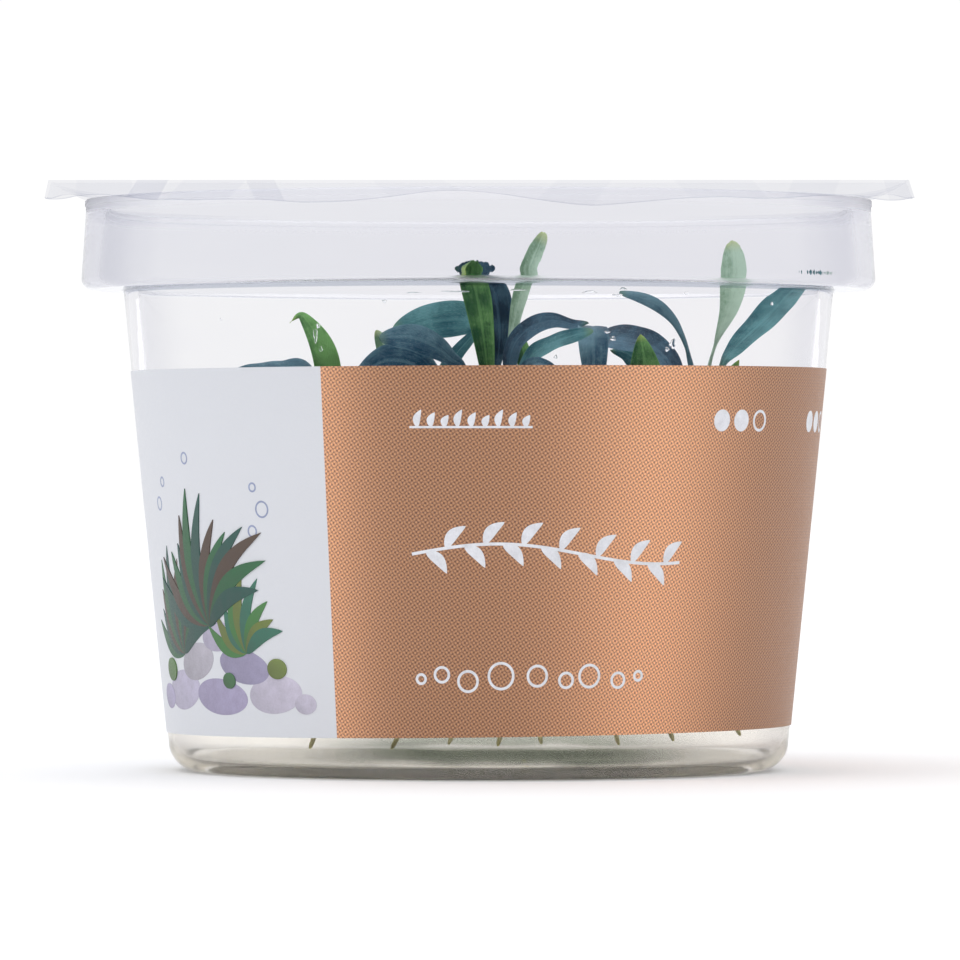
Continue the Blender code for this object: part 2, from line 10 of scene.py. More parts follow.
import bpy
import numpy as np
from bpy.props import FloatProperty, FloatVectorProperty, IntProperty, PointerProperty
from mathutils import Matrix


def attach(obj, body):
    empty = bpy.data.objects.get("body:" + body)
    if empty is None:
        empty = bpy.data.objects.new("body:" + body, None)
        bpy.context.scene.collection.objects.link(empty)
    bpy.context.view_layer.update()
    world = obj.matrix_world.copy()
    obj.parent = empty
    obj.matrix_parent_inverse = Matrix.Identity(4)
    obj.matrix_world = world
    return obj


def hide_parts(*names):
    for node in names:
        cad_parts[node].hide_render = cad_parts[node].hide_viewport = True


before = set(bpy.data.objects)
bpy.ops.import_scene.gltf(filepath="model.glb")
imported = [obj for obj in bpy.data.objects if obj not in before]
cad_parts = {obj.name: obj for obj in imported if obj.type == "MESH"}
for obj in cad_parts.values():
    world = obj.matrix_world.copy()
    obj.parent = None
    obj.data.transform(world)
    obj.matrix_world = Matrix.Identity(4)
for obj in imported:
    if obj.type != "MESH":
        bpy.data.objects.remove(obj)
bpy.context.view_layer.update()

bl_info = {
    "name": "Culture cup of Bucephalandra",
    "version": (1, 0, 0),
    "blender": (4, 5, 0),
    "location": "3D View > Sidebar > Culture cup",
    "description": "Makes the looks of a sealed culture cup with Bucephalandra plantlets in gel",
    "category": "Object",
}

MM = 0.001
GAP = 0.3  # clearance between the CAD solids of pieces that touch on the real object

# Cup
FOOT_R = 31.6
FOOT_RING = 1.6
FOOT_RECESS = 0.4
BASE_R = 34.85
BASE_CORNER_H = 3.3
LEDGE_Z = 53.95
LEDGE_R = 39.9
LEDGE_T = 0.4
COLLAR_BOTTOM_R = 44.6
COLLAR_TOP_R = 44.1
COLLAR_CORNER = 1.2
COLLAR_WALL = 1.8
RIM_Z = 64.0
RIM_LAND = 2.5
BODY_WALL = 1.5
FLOOR_T = 1.0

# Seal film
FILM_T = 0.3
FILM_SEAL_R = 44.7
FILM_FOLD_R = 48.3
FILM_EDGE_R = 48.85
FILM_LIFT = 1.8
FILM_SKIRT = 2.0
FILM_BACK_SKIRT = 0.5
FILM_RUFFLE = 0.7
FILM_SECTIONS = 1080
FILM_WAVES = ((0.7, 7, 0.6), (0.5, 12, 2.1))  # the ruffle's sines: share, count round the film and shift
FILM_CREASES = ((13, 0.2, 0.1), (29, 0.6, 0.06), (47, 0.35, 0.03))  # count round the film, shift and size

# Label
LABEL_BOTTOM = 4.75
LABEL_TOP = 44.95
LABEL_TILT_BOTTOM = 0.4  # how much higher the lower edge is at the right than in front
LABEL_TILT_TOP = 0.15
LABEL_T = 0.1
LABEL_REACH = 166.0  # degrees from the front to either end
LABEL_SECTIONS = 460
WALL_RINGS = (0.004, 0.02, 0.2, 0.4, 0.6, 0.8, 0.98, 0.996)  # where the long wall has rings, as shares of it
LABEL_MEAN_R = 38.0  # turns an angle round the cup into a length along the label
PANEL_EDGE = -17.2  # where the pale panel meets the copper one, along the label from its front

# Gel
GEL_TOP = 14.0
GEL_SIDES = 240

# Plantlets
RHIZOME_FOOT_Z = 7.0
RHIZOME_R = 1.0
ROOT_START_Z = 10.5
ROOT_R = 0.4
STALK_R = 0.36
BLADE_HALF_T = 0.24
NECK = 0.18  # share of a leaf that is stalk
CHANNEL = 0.22  # how far a blade's margins rise, as a share of its half width
RIB_WIDTH = 0.16  # share of the half width
RIB_DEPTH = 0.1
VEIN_WAVES = 21.0  # waves of the side veins along a leaf, with two veins to a wave
VEIN_SLANT = 2.4  # waves by which a vein runs on from the midrib to the margin

Plantlet = namedtuple("Plantlet", "foot top roots")
Leaf = namedtuple("Leaf", "plantlet height width fullest face colour points")

# foot is x, y where the rhizome stands in the gel; top is its growing tip; roots are root tips.
PLANTLETS = {
    "a": Plantlet((0.5, -10.0), (1.6, -13.0, 40.0), ((-3.2, -31.2, 4.0), (-2.5, 2.0, 4.0))),
    "b": Plantlet((22.0, -5.0), (25.4, -8.0, 41.0), ((28.6, -13.6, 4.4), (29.0, 6.0, 5.0))),
    "c": Plantlet((-4.0, -17.0), (-3.2, -19.5, 39.5), ((-9.4, -29.6, 3.4),)),
    "d": Plantlet((-14.5, -13.0), (-16.6, -16.8, 40.0), ((-18.3, -25.6, 3.3), (-27.5, -9.0, 4.5))),
    "e": Plantlet((-11.0, -6.0), (-10.8, -10.5, 39.0), ((-22.0, 0.0, 4.6),)),
    "f": Plantlet((11.0, -9.0), (13.2, -11.5, 40.0), ((15.2, -27.2, 3.8), (12.0, 4.0, 4.2))),
    "g": Plantlet((-12.0, 8.0), (-14.5, 11.0, 33.0), ((-20.0, 20.0, 4.0), (-2.0, 14.0, 3.6))),
    "h": Plantlet((9.0, 13.0), (10.0, 16.0, 34.0), ((18.0, 24.0, 4.0), (5.0, 27.0, 3.8))),
    "j": Plantlet((4.0, -17.5), (5.0, -20.8, 39.0), ((2.1, -31.2, 3.8), (6.8, -30.4, 4.0))),
    "k": Plantlet((16.0, -15.0), (19.6, -18.6, 40.0), ((21.2, -23.6, 4.1),)),
}

# height is where the stalk leaves the rhizome, fullest is how far along the blade it is widest, face is the
# way the blade's upper side looks, and points are x, y, z after the stalk's foot, the last of them the tip.
LEAVES = {
    "leaf_a1": Leaf("a", 38.6, 3.1, 0.58, (0.1, -1, 0.1), "green",
                    ((1.2, -18.6, 42.5), (0.7, -20.2, 47.0), (0.2, -20.4, 50.6), (-0.4, -20.4, 53.8),
                     (-1.0, -21.2, 55.7), (-1.5, -22.8, 56.1), (-1.9, -24.2, 55.3))),
    "leaf_a2": Leaf("a", 39.2, 3.2, 0.62, (0.1, -1, 0.1), "navy",
                    ((2.2, -12.8, 44.0), (2.3, -13.2, 49.0), (1.9, -13.6, 52.6), (0.9, -14.0, 55.0),
                     (-0.8, -14.4, 56.0), (-2.9, -14.8, 55.7))),
    "leaf_a3": Leaf("a", 37.2, 2.5, 0.72, (-0.8, -1, 0), "sage",
                    ((3.3, -16.6, 43.4), (3.7, -17.2, 48.2), (4.8, -18.0, 53.4), (6.0, -19.0, 57.0),
                     (7.3, -20.0, 60.0))),
    "leaf_a4": Leaf("a", 36.4, 4.0, 0.72, (0.1, -1, 0.4), "teal",
                    ((3.2, -10.0, 44.0), (3.0, -9.2, 48.0), (1.4, -8.8, 50.0), (-1.6, -8.8, 50.5),
                     (-5.0, -9.2, 50.2), (-9.6, -9.8, 49.0))),
    "leaf_j1": Leaf("j", 38.0, 2.5, 0.55, (-0.3, -0.9, 0.6), "navy",
                    ((3.4, -23.0, 43.6), (3.9, -24.0, 47.2), (5.8, -24.6, 49.3), (8.2, -24.4, 50.0),
                     (10.4, -24.0, 49.6), (12.0, -25.2, 49.8))),
    "leaf_j2": Leaf("j", 37.2, 2.6, 0.55, (-0.3, -0.9, 0.7), "teal",
                    ((4.6, -26.5, 43.2), (5.8, -28.4, 46.0), (8.0, -30.0, 47.4), (10.2, -31.0, 48.2),
                     (12.4, -31.6, 48.8))),
    "leaf_j3": Leaf("j", 38.4, 1.8, 0.45, (0, -1, 0), "green",
                    ((5.6, -17.6, 43.0), (5.0, -16.6, 46.6), (4.3, -16.0, 49.6))),
    "leaf_j4": Leaf("j", 35.4, 2.6, 0.45, (0, -0.8, 0.8), "slate",
                    ((4.2, -28.0, 40.4), (5.4, -30.6, 44.6), (7.4, -32.0, 45.0), (9.0, -32.6, 43.4))),
    "leaf_c1": Leaf("c", 38.2, 2.9, 0.68, (-0.2, -1, 0.4), "slate",
                    ((-1.6, -24.2, 44.2), (-3.2, -26.0, 46.0), (-5.1, -27.0, 47.3), (-7.4, -27.4, 48.1),
                     (-10.8, -27.6, 48.1))),
    "leaf_c2": Leaf("c", 37.0, 3.8, 0.5, (-0.1, -1, 0.4), "slate",
                    ((-5.0, -21.4, 42.8), (-6.8, -21.8, 45.0), (-9.0, -21.8, 45.7), (-11.2, -21.6, 45.2),
                     (-14.2, -21.4, 42.6))),
    "leaf_c3": Leaf("c", 38.6, 1.9, 0.5, (0, -1, 0.2), "teal",
                    ((-4.2, -16.6, 43.0), (-2.8, -15.2, 46.0), (-1.2, -14.8, 48.0), (0.0, -15.0, 49.2))),
    "leaf_d1": Leaf("d", 38.0, 3.0, 0.34, (0.1, -1, 0.1), "green",
                    ((-16.2, -25.6, 42.2), (-16.5, -27.6, 45.4), (-17.2, -28.0, 47.6), (-18.4, -27.6, 49.6),
                     (-19.4, -27.0, 50.6), (-20.5, -26.6, 49.8))),
    "leaf_d2": Leaf("d", 38.6, 2.8, 0.45, (0.1, -0.6, 1), "slate",
                    ((-18.4, -19.6, 44.3), (-21.6, -20.4, 44.9), (-24.4, -20.8, 44.9), (-27.0, -21.0, 44.7))),
    "leaf_e1": Leaf("e", 38.0, 2.3, 0.5, (0, -1, 0), "sage",
                    ((-9.6, -13.6, 43.6), (-10.1, -14.0, 46.6), (-11.3, -14.2, 49.2))),
    "leaf_f1": Leaf("f", 38.6, 3.1, 0.62, (0, -1, 0.35), "slate",
                    ((12.7, -14.6, 44.6), (12.6, -18.0, 48.4), (12.5, -23.6, 49.3), (12.5, -27.8, 47.4),
                     (12.6, -30.2, 43.6), (12.8, -30.8, 40.0))),
    "leaf_f2": Leaf("f", 38.0, 4.2, 0.5, (0.1, -0.9, 0.55), "navy",
                    ((12.2, -7.8, 44.8), (13.6, -9.6, 48.0), (17.2, -13.6, 48.0), (20.4, -17.4, 46.3),
                     (22.2, -20.4, 42.8))),
    "leaf_f3": Leaf("f", 37.2, 2.7, 0.45, (0, -1, 0.5), "teal",
                    ((18.4, -8.6, 43.6), (17.0, -7.6, 46.4), (14.7, -6.8, 47.1))),
    "leaf_k1": Leaf("k", 37.2, 4.2, 0.5, (0, -1, 0.1), "green",
                    ((18.6, -27.2, 41.2), (18.2, -28.8, 43.8), (17.9, -28.8, 46.2), (17.6, -28.2, 48.5))),
    "leaf_k2": Leaf("k", 38.8, 1.4, 0.76, (-0.2, -0.8, 0.6), "slate",
                    ((23.0, -24.4, 43.6), (22.9, -25.2, 46.2), (22.1, -26.2, 48.5), (20.9, -27.2, 50.4),
                     (18.7, -28.8, 52.0), (15.3, -30.4, 53.0))),
    "leaf_b1": Leaf("b", 39.6, 2.8, 0.78, (0, -1, 0), "sage",
                    ((25.4, -13.0, 44.4), (26.3, -14.0, 48.0), (27.7, -14.2, 51.8), (28.2, -14.0, 55.6),
                     (28.1, -13.6, 59.3))),
    "leaf_b2": Leaf("b", 38.6, 3.7, 0.62, (0.1, -0.5, 1), "teal",
                    ((26.9, -9.0, 44.6), (28.6, -6.6, 47.2), (31.4, -3.6, 49.9), (34.0, -1.4, 52.5),
                     (36.6, 0.2, 55.1), (40.2, 0.6, 55.8))),
    "leaf_b3": Leaf("b", 37.8, 1.4, 0.45, (0, -1, 0.4), "green",
                    ((27.6, -11.6, 43.4), (28.8, -12.6, 45.9))),
    "leaf_a5": Leaf("a", 35.0, 2.6, 0.45, (0.1, -0.4, 1), "teal",
                    ((-1.2, -9.4, 39.5), (-2.2, -4.6, 43.0), (-2.6, 0.4, 44.4), (-2.6, 4.0, 43.6))),
    "leaf_c4": Leaf("c", 33.0, 2.8, 0.45, (-0.2, -0.3, 1), "teal",
                    ((-6.0, -23.5, 36.5), (-9.5, -26.6, 39.2), (-13.0, -28.8, 40.8))),
    "leaf_d3": Leaf("d", 36.0, 2.8, 0.45, (-0.2, 0.2, 1), "teal",
                    ((-20.5, -14.0, 39.5), (-24.5, -11.0, 42.4), (-27.6, -8.4, 43.4))),
    "leaf_d4": Leaf("d", 33.0, 2.8, 0.45, (-0.5, -0.5, 1), "slate",
                    ((-19.8, -20.2, 36.5), (-22.4, -22.6, 39.4), (-24.0, -24.0, 41.2))),
    "leaf_e2": Leaf("e", 37.0, 2.6, 0.45, (-0.3, 0.2, 1), "slate",
                    ((-14.2, -7.4, 41.0), (-18.0, -4.6, 43.8), (-21.5, -2.6, 44.4), (-24.5, -1.5, 43.2))),
    "leaf_e3": Leaf("e", 36.0, 2.8, 0.45, (0.2, 0.3, 1), "teal",
                    ((-10.2, -6.0, 40.5), (-9.0, -1.0, 43.6), (-7.6, 3.5, 44.0), (-6.8, 6.5, 42.5))),
    "leaf_f4": Leaf("f", 35.5, 2.8, 0.45, (0.3, 0.2, 1), "teal",
                    ((16.6, -7.6, 39.2), (20.0, -2.5, 42.6), (22.5, 1.5, 44.2), (24.0, 5.0, 44.0))),
    "leaf_f5": Leaf("f", 34.0, 2.6, 0.45, (-0.2, 0.2, 1), "slate",
                    ((9.5, -8.0, 38.0), (6.4, -4.4, 41.8), (4.4, -0.8, 43.8), (3.4, 2.6, 44.0))),
    "leaf_b4": Leaf("b", 36.0, 2.8, 0.45, (0.3, 0.2, 1), "slate",
                    ((27.5, -3.8, 40.0), (28.5, 1.0, 43.4), (28.6, 6.0, 44.8), (27.6, 10.5, 44.0))),
    "leaf_b5": Leaf("b", 34.0, 2.4, 0.45, (-0.4, 0.3, 1), "green",
                    ((29.0, -10.4, 37.2), (31.3, -12.2, 40.2), (32.2, -13.0, 42.6))),
    "leaf_k3": Leaf("k", 34.0, 2.6, 0.45, (-0.3, -0.3, 1), "teal",
                    ((22.4, -21.4, 37.0), (24.4, -23.2, 40.0), (25.4, -24.0, 42.2))),
    "leaf_g1": Leaf("g", 31.5, 2.9, 0.45, (-0.5, 0.3, 1), "teal",
                    ((-18.0, 13.5, 36.0), (-21.5, 16.0, 40.5), (-24.0, 17.5, 44.0))),
    "leaf_g2": Leaf("g", 32.2, 2.4, 0.45, (0, -1, 0.3), "green",
                    ((-14.0, 14.5, 37.5), (-13.0, 17.0, 41.5), (-12.4, 18.6, 44.8))),
    "leaf_g3": Leaf("g", 31.0, 2.8, 0.45, (0, 0, 1), "slate",
                    ((-10.5, 12.0, 35.5), (-6.5, 13.0, 39.5), (-3.0, 13.5, 42.0), (0.0, 13.5, 42.5))),
    "leaf_g4": Leaf("g", 30.2, 3.0, 0.45, (-0.2, 0, 1), "teal",
                    ((-18.5, 8.5, 34.0), (-23.0, 6.5, 37.0), (-27.5, 5.0, 38.5), (-30.5, 4.5, 38.0))),
    "leaf_g5": Leaf("g", 29.4, 2.6, 0.45, (0, 0.2, 1), "slate",
                    ((-12.8, 6.6, 33.5), (-11.6, 2.8, 37.0), (-11.2, -0.6, 38.8))),
    "leaf_g6": Leaf("g", 28.4, 2.8, 0.45, (0, -0.2, 1), "teal",
                    ((-15.6, 15.5, 32.0), (-17.0, 20.0, 35.0), (-18.0, 24.0, 37.0), (-18.5, 26.5, 37.4))),
    "leaf_h1": Leaf("h", 32.4, 2.9, 0.45, (0.4, 0.3, 1), "teal",
                    ((13.5, 18.5, 37.0), (16.5, 21.5, 41.0), (18.5, 23.5, 44.2))),
    "leaf_h2": Leaf("h", 33.2, 2.4, 0.45, (0, -1, 0.3), "green",
                    ((9.5, 19.5, 38.0), (8.5, 22.0, 42.0), (7.6, 23.5, 45.0))),
    "leaf_h3": Leaf("h", 31.6, 2.8, 0.45, (0, 0, 1), "slate",
                    ((6.0, 17.5, 35.5), (1.5, 18.5, 39.0), (-2.5, 19.5, 41.0), (-5.5, 20.0, 41.0))),
    "leaf_h4": Leaf("h", 31.0, 2.9, 0.45, (0.2, 0, 1), "teal",
                    ((14.0, 15.0, 35.0), (18.5, 13.5, 38.5), (22.5, 12.0, 40.5), (25.5, 11.0, 40.5))),
    "leaf_h5": Leaf("h", 30.2, 2.7, 0.45, (0, 0.2, 1), "slate",
                    ((10.6, 11.8, 34.0), (11.6, 7.0, 37.5), (12.8, 3.0, 39.5), (13.4, 0.0, 39.5))),
    "leaf_h6": Leaf("h", 29.2, 2.8, 0.45, (0, -0.2, 1), "teal",
                    ((10.5, 20.5, 32.0), (11.0, 25.0, 35.5), (11.0, 28.5, 38.0), (11.0, 30.5, 38.5))),
}

# Deep, light and stalk shades of each kind of leaf, as 0 to 255 steps on a screen.
LEAF_SHADES = {
    "green": ((24, 68, 40), (114, 164, 98), (176, 190, 96)),
    "sage": ((94, 128, 100), (180, 206, 186), (190, 196, 130)),
    "teal": ((28, 78, 88), (94, 144, 148), (112, 142, 96)),
    "slate": ((16, 58, 80), (96, 130, 142), (96, 124, 104)),
    "navy": ((12, 38, 58), (74, 106, 124), (80, 108, 78)),
}

# How pale the leaves are that show above the label, from 0 to 1; the others take theirs from their number.
LEAF_TONES = {
    "leaf_a1": 0.35, "leaf_a2": 0.3, "leaf_a3": 0.6, "leaf_a4": 0.5, "leaf_b1": 1.0, "leaf_b2": 0.5,
    "leaf_c1": 0.5, "leaf_c2": 0.1, "leaf_c3": 0.4, "leaf_d1": 1.0, "leaf_d2": 0.4, "leaf_f1": 0.55,
    "leaf_f2": 0.6, "leaf_j1": 0.6, "leaf_j2": 0.5, "leaf_k1": 0.35, "leaf_k2": 1.0, "leaf_e1": 0.3,
}

# Painted highlights: soft bright bands where the studio lights shine on the copper print: middle along the
# label, reach and gain.
COPPER_HIGHLIGHTS = ((-19.0, 6.0, 0.6), (20.5, 10.5, 0.72), (76.0, 14.0, 0.3))
# painted shade: the copper's level away from the painted highlight bands
COPPER_LEVEL = 0.75  # brightness of the copper away from the bands

FRONT_ARC = 179.07  # how far along a turned skin its front lies

# Motifs on the copper print
PRINT_WHITE = (232, 234, 240)  # as 0 to 255 steps on a screen
MOTIFS_ARC = -7.4  # where the row of leaves and the sprig start along the label
DISCS_Z = 39.1
LEAF_ROW_Z = 38.3
SPRIG_Z = 24.6
CIRCLES_Z = 11.2

# Painted shade on the folds in the film's skirt, standing in for the creased film's reflections: middle from
# the front and half width along it, slant, and the shade colour left by a pass.
FILM_FOLD_SHADES = (
    (-39.0, 5.0, 1.0, (0.93, 0.935, 0.955)),
    (-31.2, 2.0, -0.8, (0.8, 0.81, 0.865)),
    (-24.0, 3.4, -1.6, (0.92, 0.925, 0.95)),
    (-19.2, 1.4, 1.2, (0.86, 0.865, 0.9)),
    (-6.0, 3.0, 1.6, (0.95, 0.952, 0.965)),
    (9.0, 2.4, -1.8, (0.94, 0.945, 0.96)),
    (21.0, 4.0, 1.5, (0.935, 0.94, 0.955)),
    (33.0, 3.2, -1.5, (0.92, 0.925, 0.945)),
    (50.0, 5.0, 0.5, (0.92, 0.925, 0.945)),
)

# Wet marks inside the wall: x, z, width, height and bulge, seen from the front.
WET_MARKS = (
    (-17.6, 48.3, 0.5, 1.5, 0.16), (-17.3, 49.3, 0.45, 0.5, 0.14), (-10.1, 51.9, 0.5, 0.35, 0.1),
    (-17.0, 46.8, 0.35, 0.6, 0.1), (12.0, 52.9, 1.5, 0.35, 0.14), (15.0, 52.6, 1.2, 0.3, 0.14),
    (15.6, 53.3, 0.8, 0.3, 0.1), (14.5, 47.9, 0.6, 0.5, 0.14), (13.9, 48.6, 0.7, 0.25, 0.1),
    (21.0, 47.4, 0.75, 1.1, 0.2), (20.4, 46.8, 0.5, 0.5, 0.14), (-2.5, 52.9, 3.0, 0.22, 0.08),
    (-7.0, 52.8, 1.6, 0.16, 0.08), (4.2, 53.1, 1.8, 0.2, 0.08), (22.5, 52.9, 0.6, 0.4, 0.1),
    (32.0, 52.0, 0.5, 0.4, 0.1), (-28.0, 50.2, 0.4, 0.3, 0.1), (8.3, 45.9, 0.4, 0.4, 0.1),
)

Skin = namedtuple("Skin", "points quads triangles places values")


# --- sums shared by the shapes


def paint(red, green, blue):
    """A colour given as 0 to 255 steps on a screen, as linear light."""
    step = np.array([red, green, blue]) / 255
    return tuple(np.where(step <= 0.04045, step / 12.92, ((step + 0.055) / 1.055) ** 2.4))


def unit(vectors):
    return vectors / np.linalg.norm(vectors, axis=-1, keepdims=True)


def smooth_step(values, low, high):
    share = np.clip((values - low) / (high - low), 0, 1)
    return share * share * (3 - 2 * share)


def smooth_path(points, shares):
    """Catmull-Rom curve through the points, read at the given shares of its length."""
    points = np.asarray(points, float)
    ends = np.vstack([2 * points[0] - points[1], points, 2 * points[-1] - points[-2]])
    place = np.linspace(0, len(points) - 1 - 1e-9, 60 * len(points))
    first = place.astype(int)
    u = (place - first)[:, None]
    a, b, c, d = (ends[first + k] for k in range(4))
    fine = 0.5 * (2 * b + (c - a) * u + (2 * a - 5 * b + 4 * c - d) * u**2 + (3 * b - 3 * c + d - a) * u**3)
    lengths = np.append(0, np.cumsum(np.linalg.norm(np.diff(fine, axis=0), axis=1)))
    wanted = np.asarray(shares) * lengths[-1]
    return np.column_stack([np.interp(wanted, lengths, fine[:, axis]) for axis in range(points.shape[1])])


def path_frames(path, face):
    """Side and upward directions across a path, for a strip whose upper side looks towards face."""
    along = unit(np.gradient(path, axis=0))
    side = unit(np.cross(along, unit(np.asarray(face, float))))
    return side, np.cross(side, along)


def wall_radius(height):
    """Outer radius of the tapered body at a height: a straight line from the foot's corner to the ledge."""
    return BASE_R + (LEDGE_R - BASE_R) * (height - BASE_CORNER_H) / (LEDGE_Z - BASE_CORNER_H)


def quarter_turn(start, end, steps, bulge_first):
    """Elliptical quarter: the sine of the turn along one axis and one minus its cosine along the other."""
    turn = np.linspace(0, 0.5 * np.pi, steps + 1)
    along, across = np.sin(turn), 1 - np.cos(turn)
    if not bulge_first:
        along, across = across, along
    return [(start[0] + (end[0] - start[0]) * a, start[1] + (end[1] - start[1]) * b)
            for a, b in zip(along, across)]


def skin(rings, poles=None, rows_at=None, columns_at=None, **values):
    """Closed skin over rings[row, column]: each row is a ring, and each end is gathered to a pole.

    rows_at and columns_at give each row's and each column's place in the UV map, in millimetres or shares.
    Values are read per point. The faces are turned so that the volume inside them is positive.
    """
    rings = np.asarray(rings, float)
    rows, columns = rings.shape[:2]
    start, end = (rings[0].mean(axis=0), rings[-1].mean(axis=0)) if poles is None else poles
    points = np.vstack([rings.reshape(-1, 3), start, end])
    row, column = np.meshgrid(np.arange(rows - 1), np.arange(columns), indexing="ij")
    at_row = np.stack([row, row, row + 1, row + 1], axis=-1).reshape(-1, 4)
    at_column = np.stack([column, column + 1, column + 1, column], axis=-1).reshape(-1, 4)
    quads = at_row * columns + at_column % columns
    side = np.arange(columns)
    after = side + 1
    low = np.stack([np.full(columns, rows * columns), after % columns, side], axis=-1)
    high = np.stack([np.full(columns, rows * columns + 1), side, after % columns], axis=-1)
    high[:, 1:] += (rows - 1) * columns
    triangles = np.vstack([low, high])
    across = np.linspace(0, 1, columns + 1) if columns_at is None else np.asarray(columns_at, float)
    along = np.linspace(0, 1, rows) if rows_at is None else np.asarray(rows_at, float)
    middle = 0.5 * (across[side] + across[after])
    fans = [
        np.stack([np.stack([middle, across[first], across[second]], axis=-1),
                  np.full((columns, 3), edge)], axis=-1)
        for first, second, edge in ((after, side, along[0]), (side, after, along[-1]))
    ]
    places = [np.stack([across[at_column], along[at_row]], axis=-1), np.vstack(fans)]
    corners = points[np.vstack([quads[:, :3], quads[:, [0, 2, 3]], triangles])]
    if np.linalg.det(corners).sum() < 0:
        quads, triangles = quads[:, ::-1], triangles[:, ::-1]
        places = [place[:, ::-1] for place in places]
    spread = {}
    for name, value in values.items():
        value = np.asarray(value, float)
        if value.ndim < 2:
            value = value.reshape(-1, 1)
        grid = np.broadcast_to(value, (rows, columns)).reshape(-1)
        spread[name] = np.concatenate([grid, [grid[:columns].mean(), grid[-columns:].mean()]])
    return Skin(points, quads, triangles, places, spread)


def turned(profile, sides, **values):
    """A profile of (radius, height) turned about the Z axis. Its first and last points lie on the axis."""
    profile = np.asarray(profile, float)
    radius, height = profile[1:-1].T
    turn = np.linspace(0, 2 * np.pi, sides, endpoint=False)
    rings = np.stack([np.outer(radius, np.cos(turn)), np.outer(radius, np.sin(turn)),
                      np.outer(height, np.ones(sides))], axis=-1)
    poles = [(0, 0, profile[0, 1]), (0, 0, profile[-1, 1])]
    return skin(rings, poles, height, np.linspace(0, 2 * np.pi, sides + 1) * LABEL_MEAN_R, **values)


def rod(path, radii, sides, face=(0.3, 0.2, 1), **values):
    """A round rod: a circle of its own radius at each point of the path, square to it."""
    side, up = path_frames(path, face)
    turn = np.linspace(0, 2 * np.pi, sides, endpoint=False)[None, :, None]
    radii = np.asarray(radii, float)[:, None, None]
    rings = path[:, None] + radii * (np.cos(turn) * side[:, None] + np.sin(turn) * up[:, None])
    return skin(rings, **values)


def put_piece(name, skins, surface, sharp=40.0, stands_for=(), inks=None):
    """Joins skins into one piece with its UV map, values and finish, and ties it to the object.

    Edges that bend by more than sharp degrees are creased, and inks are colours given per point.
    """
    counts = np.cumsum([0] + [len(one.points) for one in skins])
    quads = np.vstack([one.quads + first for one, first in zip(skins, counts)])
    triangles = np.vstack([one.triangles + first for one, first in zip(skins, counts)])
    mesh = bpy.data.meshes.new(name)
    mesh.from_pydata(np.vstack([one.points for one in skins]) * MM, [], quads.tolist() + triangles.tolist())
    places = np.concatenate([one.places[0].reshape(-1, 2) for one in skins]
                            + [one.places[1].reshape(-1, 2) for one in skins])
    mesh.uv_layers.new(name="pattern").data.foreach_set("uv", places.astype(np.float32).ravel())
    for key in skins[0].values:
        layer = mesh.attributes.new(key, "FLOAT", "POINT")
        layer.data.foreach_set("value", np.concatenate([one.values[key] for one in skins]).astype(np.float32))
    if inks is not None:
        layer = mesh.attributes.new("ink", "FLOAT_COLOR", "POINT")
        layer.data.foreach_set("color", np.vstack(inks).astype(np.float32).ravel())
    mesh.update()
    mesh.shade_smooth()
    mesh.set_sharp_from_angle(angle=math.radians(sharp))
    mesh.materials.append(surface)
    made = bpy.data.objects.new(name, mesh)
    bpy.context.scene.collection.objects.link(made)
    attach(made, "root")
    if stands_for:
        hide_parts(*stands_for)
    return made


# --- shader nodes


def node(tree, kind, inputs=(), **settings):
    """Adds a shader node, with its settings, and with its inputs set or linked."""
    made = tree.nodes.new("ShaderNode" + kind)
    for key, value in settings.items():
        setattr(made, key, value)
    fill(tree, made, inputs)
    return made


def fill(tree, made, inputs):
    """Links each of a node's inputs that is given a socket, and sets the others."""
    for key, value in dict(inputs).items():
        if isinstance(value, bpy.types.NodeSocket):
            tree.links.new(value, made.inputs[key])
        else:
            made.inputs[key].default_value = value


def math_of(tree, operation, *values):
    return node(tree, "Math", enumerate(values), operation=operation).outputs[0]


def times(tree, first, second):
    return math_of(tree, "MULTIPLY", first, second)


def plus(tree, first, second):
    return math_of(tree, "ADD", first, second)


def minus(tree, first, second):
    return math_of(tree, "SUBTRACT", first, second)


def size_of(tree, value):
    return math_of(tree, "ABSOLUTE", value)


def ease(tree, value, low, high, start=0.0, end=1.0):
    """Smooth step of a value from low to high, spread from start to end."""
    return node(tree, "MapRange", {"Value": value, "From Min": low, "From Max": high, "To Min": start,
                                   "To Max": end}, interpolation_type="SMOOTHSTEP").outputs[0]


def between(tree, value, rise, fall):
    """One between a rise and a fall, each a start and an end, and nought outside them."""
    return times(tree, ease(tree, value, *rise), ease(tree, value, *fall))


def blend_colours(tree, factor, first, second, kind="MIX"):
    return node(tree, "Mix", {0: factor, 6: first, 7: second}, data_type="RGBA", blend_type=kind).outputs[2]


def tinted(tree, mask, tint, colour):
    """The tint, darkened by a colour where the mask is one."""
    return blend_colours(tree, mask, tint, (*colour, 1), "MULTIPLY")


def new_group(name, inputs, outputs):
    """A node group with its sockets: each input is a name, a kind and a default."""
    group = bpy.data.node_groups.new(name, "ShaderNodeTree")
    for label, kind, default in inputs:
        socket = group.interface.new_socket(label, in_out="INPUT", socket_type="NodeSocket" + kind)
        socket.default_value = default
    for label, kind in outputs:
        group.interface.new_socket(label, in_out="OUTPUT", socket_type="NodeSocket" + kind)
    return group, group.nodes.new("NodeGroupInput").outputs, group.nodes.new("NodeGroupOutput").inputs


